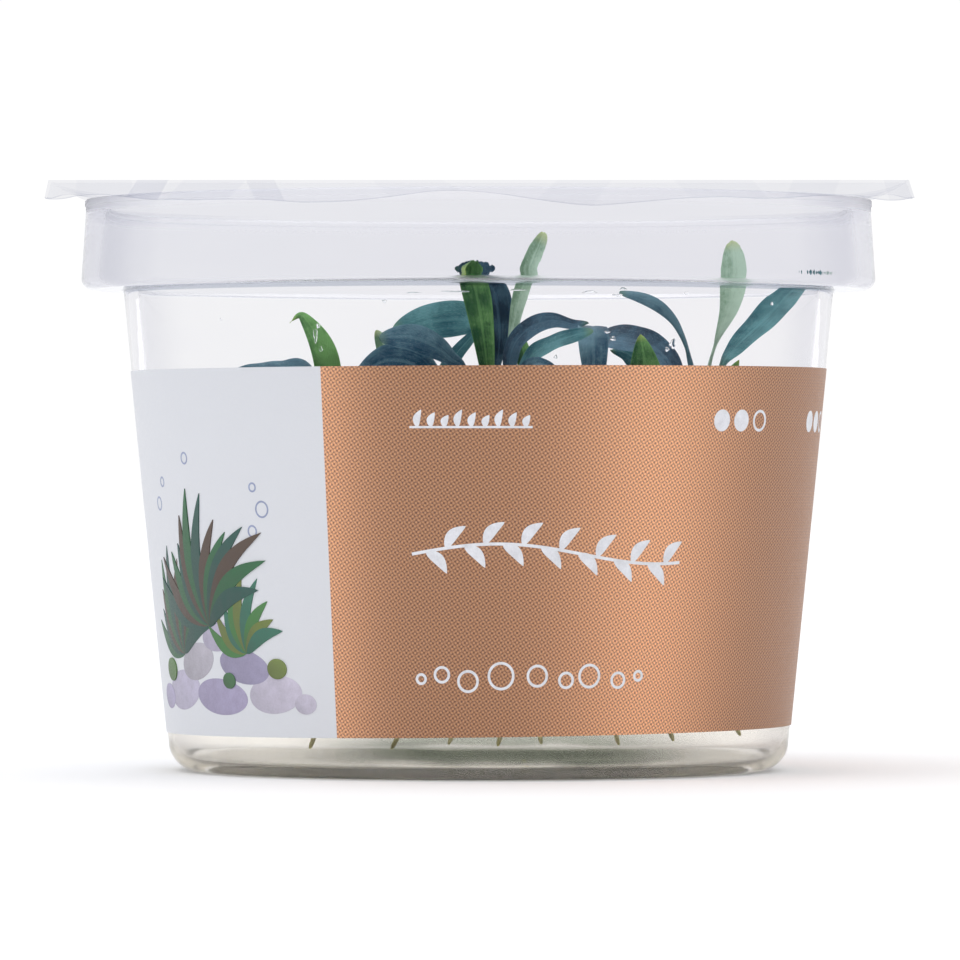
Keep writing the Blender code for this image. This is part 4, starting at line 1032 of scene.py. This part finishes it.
def rhizome_skins(plantlet):
    """The rhizome, ringed by leaf scars and rounded at both ends, and its roots, which thin outwards.

    A scar is the sixth power of a sine of the height. A root is a smooth path through a bend, with a wiggle
    of slow sines.
    """
    share = np.linspace(0, 1, 90)
    heights = RHIZOME_FOOT_Z + (plantlet.top[2] - RHIZOME_FOOT_Z) * share
    scars = 0.09 * np.abs(np.sin(np.pi * heights / 2.7)) ** 6 + 0.03 * np.sin(heights * 3.1)
    ends = np.sqrt(np.clip(1 - np.abs(2 * share - 1) ** 24, 0.02, 1))
    skins = [rod(rhizome_axis(plantlet, heights), RHIZOME_R * (0.92 + scars) * ends, 18, rooty=0.0)]
    for index, tip in enumerate(plantlet.roots):
        start = rhizome_axis(plantlet, ROOT_START_Z + 0.8 * index)
        tip = np.array(tip)
        bend = start + (tip - start) * np.array([0.55, 0.55, 0.3])
        reach = np.linspace(0, 1, 70)
        path = smooth_path([start, bend, tip], reach)
        wiggle = 0.16 * np.sin(np.pi * reach)[:, None]
        waves = [np.sin(9 * reach + index), np.cos(7 * reach), np.sin(11 * reach)]
        path = path + wiggle * np.stack(waves, axis=1)
        radii = ROOT_R * (1 - 0.4 * reach) * np.sqrt(np.clip((1.02 - reach) / 0.06, 0.03, 1))
        skins.append(rod(path, radii, 12, rooty=1.0))
    return skins


def blade_half_width(share, leaf):
    """Half the width along a leaf: a thin stalk, then a skewed sine raised to a power, blunter above."""
    u = np.clip((share - NECK) / (1 - NECK), 0, 1)
    skew = math.log(0.5) / math.log(leaf.fullest)
    power = np.where(u < leaf.fullest, 0.75, 1 - 0.8 * leaf.fullest)
    blade = 0.5 * leaf.width * np.clip(np.sin(np.pi * u**skew), 0, 1) ** power
    return np.maximum(blade, STALK_R * np.clip(1.6 - 2 * share, 0.17, 1))


def leaf_frames(path, face, shares):
    """Side and upward directions along a leaf, worked out from the full blade towards both ends.

    They follow face, and are carried on without a twist where the path runs along it.
    """
    along = unit(np.gradient(path, axis=0))
    wanted = np.cross(along, unit(np.asarray(face, float)))
    side = np.zeros_like(along)
    middle = int(np.argmin(np.abs(shares - 0.56)))
    side[middle] = unit(wanted[middle])
    for step, stop in ((1, len(path)), (-1, -1)):
        for here in range(middle + step, stop, step):
            before = side[here - step]
            carried = unit(before - along[here] * (before @ along[here]))
            side[here] = unit(carried + 0.5 * max(0.0, wanted[here] @ carried) * wanted[here])
    return side, np.cross(side, along)


def leaf_skin(leaf, number, tone):
    """A leaf: a closed ring carried along its middle line.

    Across is the cosine of the turn round the ring times the half width. The margins rise by CHANNEL of the
    half width and ripple by two sines, the midrib is a narrow groove above and a ridge below, and the
    thickness is a sine of the turn that thins to the margins.
    """
    tip_shares = 0.9 + 0.1 * np.sin(np.linspace(0.1, 1.56, 14))
    shares = np.concatenate([[-0.05, -0.02], np.linspace(0, 0.9, 44), tip_shares])
    axis = rhizome_axis(PLANTLETS[leaf.plantlet], leaf.height)
    out = np.array(leaf.points[0]) - axis
    out[2] = 0
    start = axis + unit(out) * (RHIZOME_R * 1.1 + GAP + STALK_R + 0.1)
    path = smooth_path([start, *leaf.points], np.clip(shares, 0, 1))
    path[0], path[1] = axis + 0.3 * (start - axis), axis + 0.75 * (start - axis)
    side, up = leaf_frames(path, leaf.face, shares)
    turn = np.linspace(0, 2 * np.pi, 28, endpoint=False)[None, :]
    share = shares[:, None]
    half = blade_half_width(share, leaf)
    across = np.cos(turn)
    in_blade = smooth_step(share, NECK, NECK + 0.14)
    phase = 2.4 * number
    ripple = 0.07 * np.sin(17 * share + phase + 1.6 * across) + 0.04 * np.sin(31 * share + 1.7 * phase)
    margin = half * in_blade * np.abs(across) ** 3 * ripple
    lift = CHANNEL * np.clip(half - STALK_R, 0, None) * np.abs(across) ** 1.6
    thick = STALK_R * (1 - in_blade) + BLADE_HALF_T * (1.15 - 0.6 * share) * (1 - 0.72 * across**2) * in_blade
    rib = in_blade * np.exp(-((across / RIB_WIDTH) ** 2)) * np.clip(1.1 - share, 0, 1)
    rise = lift + margin + thick * np.sin(turn) - RIB_DEPTH * rib
    bend = 0.05 * leaf.width * in_blade * np.sin(9 * share + phase) * np.abs(across) * np.sign(across)
    rings = path[:, None] + side[:, None] * (half * across + bend)[..., None] + up[:, None] * rise[..., None]
    return skin(rings, (path[0], leaf.points[-1]), shares, 0.5 + 0.5 * np.cos(np.append(turn, 2 * np.pi)),
                tone=tone)


def wet_skin(mark):
    """A wet mark: an ellipse shrunk in steps, standing off the inner wall by a rounded bulge."""
    x, z, width, height, bulge = mark
    collar = z > LEDGE_Z + LEDGE_T
    inner = (COLLAR_TOP_R - COLLAR_WALL + 0.2 if collar else wall_radius(z) - BODY_WALL) - 0.03
    turn = np.linspace(0, 2 * np.pi, 20, endpoint=False)[None, :]
    share = np.array([1.0, 0.98, 0.85, 0.6, 0.3])[:, None]
    ragged = 1 + 0.18 * np.sin(3 * turn + 5 * x) + 0.1 * np.sin(5 * turn + z)
    angle = math.asin(x / inner) + 0.5 * width * share * ragged * np.cos(turn) / inner
    level = z + 0.5 * height * share * ragged * np.sin(turn)
    off = bulge * np.sqrt(np.clip(1 - share**2, 0, 1)) + 0 * turn
    lean = 0.0 if collar else (LEDGE_R - BASE_R) / (LEDGE_Z - BASE_CORNER_H)
    radius = inner + lean * (level - z) - off
    rings = np.stack([radius * np.sin(angle), -radius * np.cos(angle), level], axis=-1)
    peak = inner - bulge
    poles = [(x, -math.sqrt(inner**2 - x**2), z),
             (peak * x / inner, -peak * math.sqrt(1 - (x / inner) ** 2), z)]
    return skin(rings, poles)


# --- settings, operators and panel


class CultureCupCup(bpy.types.PropertyGroup):
    sides: IntProperty(
        name="Sides", description="Facets round the turned wall",
        default=288, min=48)
    tint: FloatVectorProperty(
        name="Body tint", description="Colour left by each pass through the body's wall",
        default=(0.985, 0.985, 0.99), min=0, max=1, subtype="COLOR")
    collar_tint: FloatVectorProperty(
        name="Collar tint", description="Colour left by each pass through the collar",
        default=(0.863, 0.868, 0.905), min=0, max=1, subtype="COLOR")
    slant_tint: FloatVectorProperty(
        name="Slanting tint", description="Colour left where the wall is crossed aslant",
        default=(0.89, 0.892, 0.912), min=0, max=1, subtype="COLOR")
    band_tint: FloatVectorProperty(
        name="Band tint", description="Colour left by the collar's oblique bands",
        default=(0.94, 0.942, 0.955), min=0, max=1, subtype="COLOR")
    # the right tint only makes the wall a little darker towards the right; the wall is no thicker there
    right_tint: FloatVectorProperty(
        name="Right tint", description="Colour left by the wall's slightly thicker right",
        default=(0.994, 0.991, 0.994), min=0, max=1, subtype="COLOR")
    # painted shade: colour of the dark line in the corner under the ledge
    corner_shade_tint: FloatVectorProperty(
        name="Corner tint", description="Colour left by the corner under the ledge",
        default=(0.45, 0.49, 0.57), min=0, max=1, subtype="COLOR")
    frosting: FloatProperty(
        name="Frosting", description="Roughness added in the collar",
        default=0.04, min=0, max=1, subtype="FACTOR")
    gloss: FloatProperty(
        name="Roughness", description="Roughness of the clear body",
        default=0.015, min=0, max=1, subtype="FACTOR")
    lane_lean: FloatProperty(
        name="Lane lean", description="How far the lanes inside the collar lean up or down",
        default=0.3, min=0, max=4)


class CultureCupFilm(bpy.types.PropertyGroup):
    tint: FloatVectorProperty(
        name="Film tint", description="Colour left by each pass through the film",
        default=(0.952, 0.954, 0.968), min=0, max=1, subtype="COLOR")
    haze: FloatProperty(
        name="Haze", description="Roughness of the film",
        default=0.02, min=0, max=1, subtype="FACTOR")


class CultureCupLabel(bpy.types.PropertyGroup):
    copper: FloatVectorProperty(
        name="Copper ink", description="Middle colour of the copper print",
        default=paint(184, 132, 97), min=0, max=1, subtype="COLOR")
    dark_dot: FloatVectorProperty(
        name="Dark dots", description="Colour of the dark screen of dots",
        default=paint(112, 76, 60), min=0, max=1, subtype="COLOR")
    pale_dot: FloatVectorProperty(
        name="Pale dots", description="Colour of the pale screen of dots",
        default=paint(232, 176, 132), min=0, max=1, subtype="COLOR")
    panel: FloatVectorProperty(
        name="Pale panel", description="Colour of the panel beside the copper",
        default=paint(210, 212, 217), min=0, max=1, subtype="COLOR")
    dot_pitch: FloatProperty(
        name="Dot pitch", description="Spacing of the print's dots in millimetres",
        default=0.5, min=0.1, max=3.0)
    sheen: FloatProperty(
        name="Roughness", description="Roughness of the label",
        default=0.38, min=0, max=1, subtype="FACTOR")


class CultureCupPlants(bpy.types.PropertyGroup):
    gel_tint: FloatVectorProperty(
        name="Gel tint", description="Colour left by each pass through the gel",
        default=(1.0, 0.957, 0.865), min=0, max=1, subtype="COLOR")
    # painted shade: colour of the gel's low middle, where the cup's shadow on the floor shows through
    gel_shade_tint: FloatVectorProperty(
        name="Settled tint", description="Colour left by each pass where the gel settled",
        default=(0.18, 0.2, 0.15), min=0, max=1, subtype="COLOR")
    veins: FloatProperty(
        name="Veins", description="Strength of the side veins",
        default=0.35, min=0, max=1, subtype="FACTOR")


class CultureCupStage(bpy.types.PropertyGroup):
    distance: FloatProperty(
        name="Camera distance", description="From the cup's axis to the camera",
        default=0.9, min=0.2, subtype="DISTANCE", unit="LENGTH")
    height: FloatProperty(
        name="Camera height", description="Height of the level camera",
        default=0.0326, min=0, subtype="DISTANCE", unit="LENGTH")
    brightness: FloatProperty(
        name="Studio brightness", description="Strength of the soft light from all round",
        default=1.0, min=0)


class CULTURECUP_OT_cup(bpy.types.Operator):
    """Turn the clear cup with its collar, ledge, tapered body and foot ring"""

    bl_idname = "culture_cup.cup"
    bl_label = "Make the cup"

    def execute(self, context):
        settings = context.scene.culture_cup_cup
        inside, outside = cup_profile()
        inner = np.concatenate([np.ones(len(inside) - 1), np.zeros(len(outside) - 1)])
        one = turned(inside + outside, settings.sides, inside=inner)
        put_piece("clear_cup", [one], cup_finish(settings), sharp=32.0, stands_for=["cup"])
        return {"FINISHED"}


class CULTURECUP_OT_film(bpy.types.Operator):
    """Make the creased sealing film over the rim"""

    bl_idname = "culture_cup.film"
    bl_label = "Make the sealing film"

    def execute(self, context):
        surface = film_finish(context.scene.culture_cup_film)
        put_piece("creased_film", [film_skin()], surface, sharp=28.0,
                  stands_for=["seal_film"])
        return {"FINISHED"}


class CULTURECUP_OT_label(bpy.types.Operator):
    """Wrap the printed label round the body"""

    bl_idname = "culture_cup.label"
    bl_label = "Make the label"

    def execute(self, context):
        surface = label_finish(context.scene.culture_cup_label)
        made = put_piece("printed_label", [label_skin()], surface, stands_for=["label"])
        made.data.materials.append(label_back_finish())
        spread = np.zeros(len(made.data.polygons), np.int32)
        spread[:4 * (LABEL_SECTIONS - 1)] = np.arange(4 * (LABEL_SECTIONS - 1)) % 4 == 3
        made.data.polygons.foreach_set("material_index", spread)
        return {"FINISHED"}


class CULTURECUP_OT_print(bpy.types.Operator):
    """Lay the motifs on the label: pebbles and tufts on the pale panel, dots and a sprig on the copper"""

    bl_idname = "culture_cup.print"
    bl_label = "Make the printed motifs"

    def execute(self, context):
        surface = print_finish()
        for name, drawn in (("copper_motifs", copper_marks()), ("garden_motif", garden_marks())):
            skins, inks = zip(*drawn)
            put_piece(name, skins, surface, inks=inks)
        return {"FINISHED"}


def copper_marks():
    """The copper part's motifs: discs, rings, a row of small leaves, a wavy sprig and a line of circles."""
    white = PRINT_WHITE
    marks = [printed_patch(circle(arc, DISCS_Z, 1.2), white, 1.0) for arc in (28.9, 32.0, 48.1, 51.2)]
    marks += [printed_line(ring_path(arc, DISCS_Z, 1.05), 0.3, white) for arc in (35.2, 54.3)]
    base = np.array([MOTIFS_ARC, LEAF_ROW_Z])
    marks.append(printed_line(base + np.linspace([0, 0], [13.2, 0.0], 20), 0.24, white))
    for step in range(9):
        foot = base + (0.8 + 1.45 * step, 0.0)
        blade = blade_outline(foot, foot + (0.5, 1.9 - 0.3 * (step % 3)), 0.8)
        marks.append(printed_patch(blade, white, 1.0))
    wave = 1.1 * np.sin(np.linspace(0, 5.2, 60))
    stem = np.column_stack([np.linspace(MOTIFS_ARC, 24.0, 60), SPRIG_Z + wave])
    marks.append(printed_line(stem, 0.34, white))
    for step in range(14):
        foot = stem[3 + 4 * step]
        lean = 2.4 if step % 2 else -2.4
        marks.append(printed_patch(blade_outline(foot, foot + (2.3, lean), 1.25), white, 1.0))
    for arc, size in ((-6.6, 0.5), (-4.2, 0.8), (-1.2, 1.1), (2.6, 1.4), (6.8, 1.1), (10.2, 0.8),
                      (13.0, 1.2), (16.6, 0.8), (19.2, 0.5)):
        marks.append(printed_line(ring_path(arc, CIRCLES_Z + 0.4 * math.sin(arc), size), 0.3, white))
    return marks


def ring_path(arc, height, radius):
    """A full circle as a path whose ends meet."""
    angle = np.linspace(0, 2 * np.pi, 48)
    return np.column_stack([arc + radius * np.cos(angle), height + radius * np.sin(angle)])


def garden_marks():
    """The pale panel's picture: heaped pebbles, three fans of ribbon leaves, moss balls and bubbles."""
    marks = []
    lilac = ((196, 190, 214), (176, 168, 200), (210, 204, 222), (188, 184, 196), (164, 158, 188))
    for index, (arc, height, wide, tall, turn) in enumerate((
            (-44.0, 9.4, 4.6, 2.2, 0.1), (-35.0, 8.8, 5.0, 2.0, -0.05), (-25.6, 9.2, 4.0, 2.1, 0.08),
            (-39.6, 12.6, 3.8, 2.0, 0.2), (-30.4, 12.2, 4.2, 1.9, -0.15), (-34.6, 15.4, 3.2, 1.6, 0.1),
            (-49.6, 8.6, 2.2, 1.4, 0.0), (-21.2, 8.2, 1.5, 1.1, 0.0))):
        pebble = circle(arc, height, wide, tall, turn)
        marks.append(printed_patch(pebble, lilac[index % 5], 0.62, 0.02 + 0.003 * index))
    greens = ((38, 104, 62), (70, 132, 66), (28, 84, 74), (112, 128, 58), (84, 66, 52), (52, 118, 96))
    fans = (((-42.5, 13.4), 11, 12.5, 1.9), ((-29.6, 13.6), 9, 9.0, 1.6), ((-36.0, 16.6), 13, 15.5, 2.0))
    for place, (foot, count, reach, width) in enumerate(fans):
        for index in range(count):
            lean = math.radians(-66 + 132 * index / (count - 1))
            length = reach * (0.72 + 0.28 * math.cos(lean)) * (0.86 + 0.14 * math.sin(5 * index + place))
            tip = (foot[0] + length * math.sin(lean), foot[1] + length * math.cos(lean))
            colour = greens[(2 * index + place) % 6]
            above = 0.05 + 0.002 * (index + 14 * place)
            marks.append(printed_patch(blade_outline(foot, tip, width), colour, 0.55, above))
    for arc, height, size, colour in ((-47.2, 11.6, 1.6, (88, 128, 62)), (-25.0, 12.0, 1.4, (122, 140, 70)),
                                      (-33.0, 10.6, 1.1, (66, 116, 70))):
        marks.append(printed_patch(circle(arc, height, size, 0.8 * size), colour, 0.5, 0.14))
    for arc, height, size in ((-46.4, 30.0, 0.7), (-44.8, 32.4, 0.5), (-27.4, 27.0, 0.6), (-25.8, 29.4, 0.85),
                              (-27.0, 31.8, 0.45), (-38.6, 35.0, 0.6)):
        marks.append(printed_line(ring_path(arc, height, size), 0.2, (150, 160, 190)))
    return marks


class CULTURECUP_OT_gel(bpy.types.Operator):
    """Fill the foot of the cup with clear nutrient gel"""

    bl_idname = "culture_cup.gel"
    bl_label = "Make the gel"

    def execute(self, context):
        surface = gel_finish(context.scene.culture_cup_plants)
        one = turned(gel_profile(), GEL_SIDES)
        put_piece("clear_gel", [one], surface, stands_for=["nutrient_gel"])
        return {"FINISHED"}


class CULTURECUP_OT_rhizomes(bpy.types.Operator):
    """Grow each plantlet's rhizome and roots"""

    bl_idname = "culture_cup.rhizomes"
    bl_label = "Make the rhizomes and roots"

    def execute(self, context):
        surface = rhizome_finish()
        for key, plantlet in PLANTLETS.items():
            skins = rhizome_skins(plantlet)
            put_piece("rhizome_skin_" + key, skins, surface, sharp=60.0,
                      stands_for=["rhizome_" + key])
        return {"FINISHED"}


class CULTURECUP_OT_leaves(bpy.types.Operator):
    """Grow the leaves, each with its stalk, channelled blade and rippled margins"""

    bl_idname = "culture_cup.leaves"
    bl_label = "Make the leaves"

    def execute(self, context):
        finishes = {kind: leaf_finish(kind, context.scene.culture_cup_plants) for kind in LEAF_SHADES}
        for number, (name, leaf) in enumerate(LEAVES.items()):
            one = leaf_skin(leaf, number, LEAF_TONES.get(name, (0.37 * number + 0.21) % 1.0))
            put_piece(name + "_blade", [one], finishes[leaf.colour], sharp=60.0,
                      stands_for=[name])
        return {"FINISHED"}


class CULTURECUP_OT_moisture(bpy.types.Operator):
    """Add the wet marks on the inner side of the wall"""

    bl_idname = "culture_cup.moisture"
    bl_label = "Make the wet marks"

    def execute(self, context):
        skins = [wet_skin(mark) for mark in WET_MARKS]
        put_piece("wet_marks", skins, moisture_finish(), sharp=60.0)
        return {"FINISHED"}


class CULTURECUP_OT_stage(bpy.types.Operator):
    """Set the pale floor, the soft light from all round and the camera"""

    bl_idname = "culture_cup.stage"
    bl_label = "Set the stage"

    def execute(self, context):
        settings = context.scene.culture_cup_stage
        set_floor()
        set_light(context.scene, settings)
        set_camera(context.scene, settings)
        return {"FINISHED"}


FLOOR_REACH = 6000  # radius of the floor
FLOOR_Z = -0.02
UPPER_LEFT = (-0.55, -0.6, 0.58)  # the way to the brighter part of the soft light
LENS_MM = 300.0
SENSOR_MM = 36.0
AXIS_X = 0.00017  # the camera's X, which sets the cup's axis where it is in the photograph
MOST_BOUNCES = 16


def set_floor():
    """A pale disc under the foot: rings whose radius grows by a steady factor, and one close to the last."""
    radius = np.append(np.geomspace(20, FLOOR_REACH, 24), FLOOR_REACH + 1)
    turn = np.linspace(0, 2 * np.pi, 72, endpoint=False)
    rings = np.stack([np.outer(radius, np.cos(turn)), np.outer(radius, np.sin(turn)),
                      np.full((len(radius), 72), FLOOR_Z)], axis=-1)
    below = rings[-1:] - (0, 0, 20)
    one = skin(np.concatenate([rings, below]), [(0, 0, FLOOR_Z), (0, 0, FLOOR_Z - 20)])
    surface, tree, shader = new_material("floor")
    cloud = mottled(tree, 6.0, 2.0)
    colour = blend_colours(tree, cloud, (0.93, 0.93, 0.935, 1), (0.90, 0.90, 0.905, 1))
    fill(tree, shader, {"Base Color": colour, "Roughness": 0.8, "Specular IOR Level": 0.1})
    mesh = bpy.data.meshes.new("floor")
    mesh.from_pydata(one.points * MM, [], one.quads.tolist() + one.triangles.tolist())
    mesh.shade_smooth()
    mesh.materials.append(surface)
    floor = bpy.data.objects.new("floor", mesh)
    bpy.context.scene.collection.objects.link(floor)


def set_light(scene, settings):
    """Even light from all round, a little brighter from above and from the upper left, in front of white."""
    world = bpy.data.worlds.new("studio")
    world.use_nodes = True
    scene.world = world
    tree = world.node_tree
    tree.nodes.clear()
    way = node(tree, "TexCoord").outputs["Generated"]
    up = node(tree, "SeparateXYZ", {0: way}).outputs[2]
    towards = node(tree, "VectorMath", {0: way, 1: UPPER_LEFT}, operation="DOT_PRODUCT").outputs["Value"]
    level = plus(tree, ease(tree, up, 0.0, 0.9, 0.93, 1.25), ease(tree, towards, 0.55, 1.0, 0.0, 0.5))
    ahead = node(tree, "VectorMath", {0: way, 1: (0.0, -1.0, 0.0)}, operation="DOT_PRODUCT").outputs["Value"]
    low = ease(tree, size_of(tree, up), 0.4, 0.12)
    dim = times(tree, ease(tree, ahead, 0.5, 0.85, 0.0, 0.8), low)
    level = times(tree, level, minus(tree, 1.0, dim))
    aside = size_of(tree, node(tree, "SeparateXYZ", {0: way}).outputs[0])
    level = times(tree, level, ease(tree, aside, 0.45, 0.9, 1.0, 0.88))
    soft = node(tree, "Background", {"Color": (0.99, 0.99, 1.0, 1),
                                     "Strength": times(tree, level, settings.brightness)}).outputs[0]
    plain = node(tree, "Background", {"Color": (1, 1, 1, 1), "Strength": 1.02}).outputs[0]
    seen = node(tree, "LightPath").outputs["Is Camera Ray"]
    mixed = node(tree, "MixShader", {0: seen, 1: soft, 2: plain}).outputs[0]
    node(tree, "OutputWorld", {"Surface": mixed})
    scene.view_settings.view_transform = "Standard"
    scene.cycles.max_bounces = MOST_BOUNCES
    scene.cycles.transmission_bounces = MOST_BOUNCES
    scene.cycles.glossy_bounces = MOST_BOUNCES
    scene.cycles.diffuse_bounces = 3


def set_camera(scene, settings):
    """A level long lens in front of the cup, half as high as its rim."""
    lens = bpy.data.cameras.new("camera")
    lens.lens, lens.sensor_width = LENS_MM, SENSOR_MM
    lens.clip_start, lens.clip_end = 0.05, 20.0
    camera = bpy.data.objects.new("camera", lens)
    scene.collection.objects.link(camera)
    camera.location = (AXIS_X, -settings.distance, settings.height)
    camera.rotation_euler = (math.radians(90), 0, 0)
    scene.camera = camera


class CULTURECUP_PT_panel(bpy.types.Panel):
    """Lists the steps that make the culture cup"""

    bl_idname = "CULTURECUP_PT_panel"
    bl_label = "Culture cup"
    bl_space_type = "VIEW_3D"
    bl_region_type = "UI"
    bl_category = "Culture cup"

    def draw(self, context):
        for step in STEPS:
            self.layout.operator(step.bl_idname)
        for group, label in GROUPS_OF_SETTINGS:
            box = self.layout.box()
            settings = getattr(context.scene, label)
            for key in group.__annotations__:
                box.prop(settings, key)


STEPS = (CULTURECUP_OT_cup, CULTURECUP_OT_film, CULTURECUP_OT_label, CULTURECUP_OT_print, CULTURECUP_OT_gel,
         CULTURECUP_OT_rhizomes, CULTURECUP_OT_leaves, CULTURECUP_OT_moisture, CULTURECUP_OT_stage)
GROUPS_OF_SETTINGS = ((CultureCupCup, "culture_cup_cup"), (CultureCupFilm, "culture_cup_film"),
                      (CultureCupLabel, "culture_cup_label"), (CultureCupPlants, "culture_cup_plants"),
                      (CultureCupStage, "culture_cup_stage"))


def register():
    for group, label in GROUPS_OF_SETTINGS:
        bpy.utils.register_class(group)
        setattr(bpy.types.Scene, label, PointerProperty(type=group))
    for made in (*STEPS, CULTURECUP_PT_panel):
        bpy.utils.register_class(made)


def unregister():
    for made in (CULTURECUP_PT_panel, *reversed(STEPS)):
        bpy.utils.unregister_class(made)
    for group, label in reversed(GROUPS_OF_SETTINGS):
        delattr(bpy.types.Scene, label)
        bpy.utils.unregister_class(group)


def main():
    register()
    for step in STEPS:
        group, call = step.bl_idname.split(".")
        getattr(getattr(bpy.ops, group), call)()


if __name__ == "__main__":
    main()
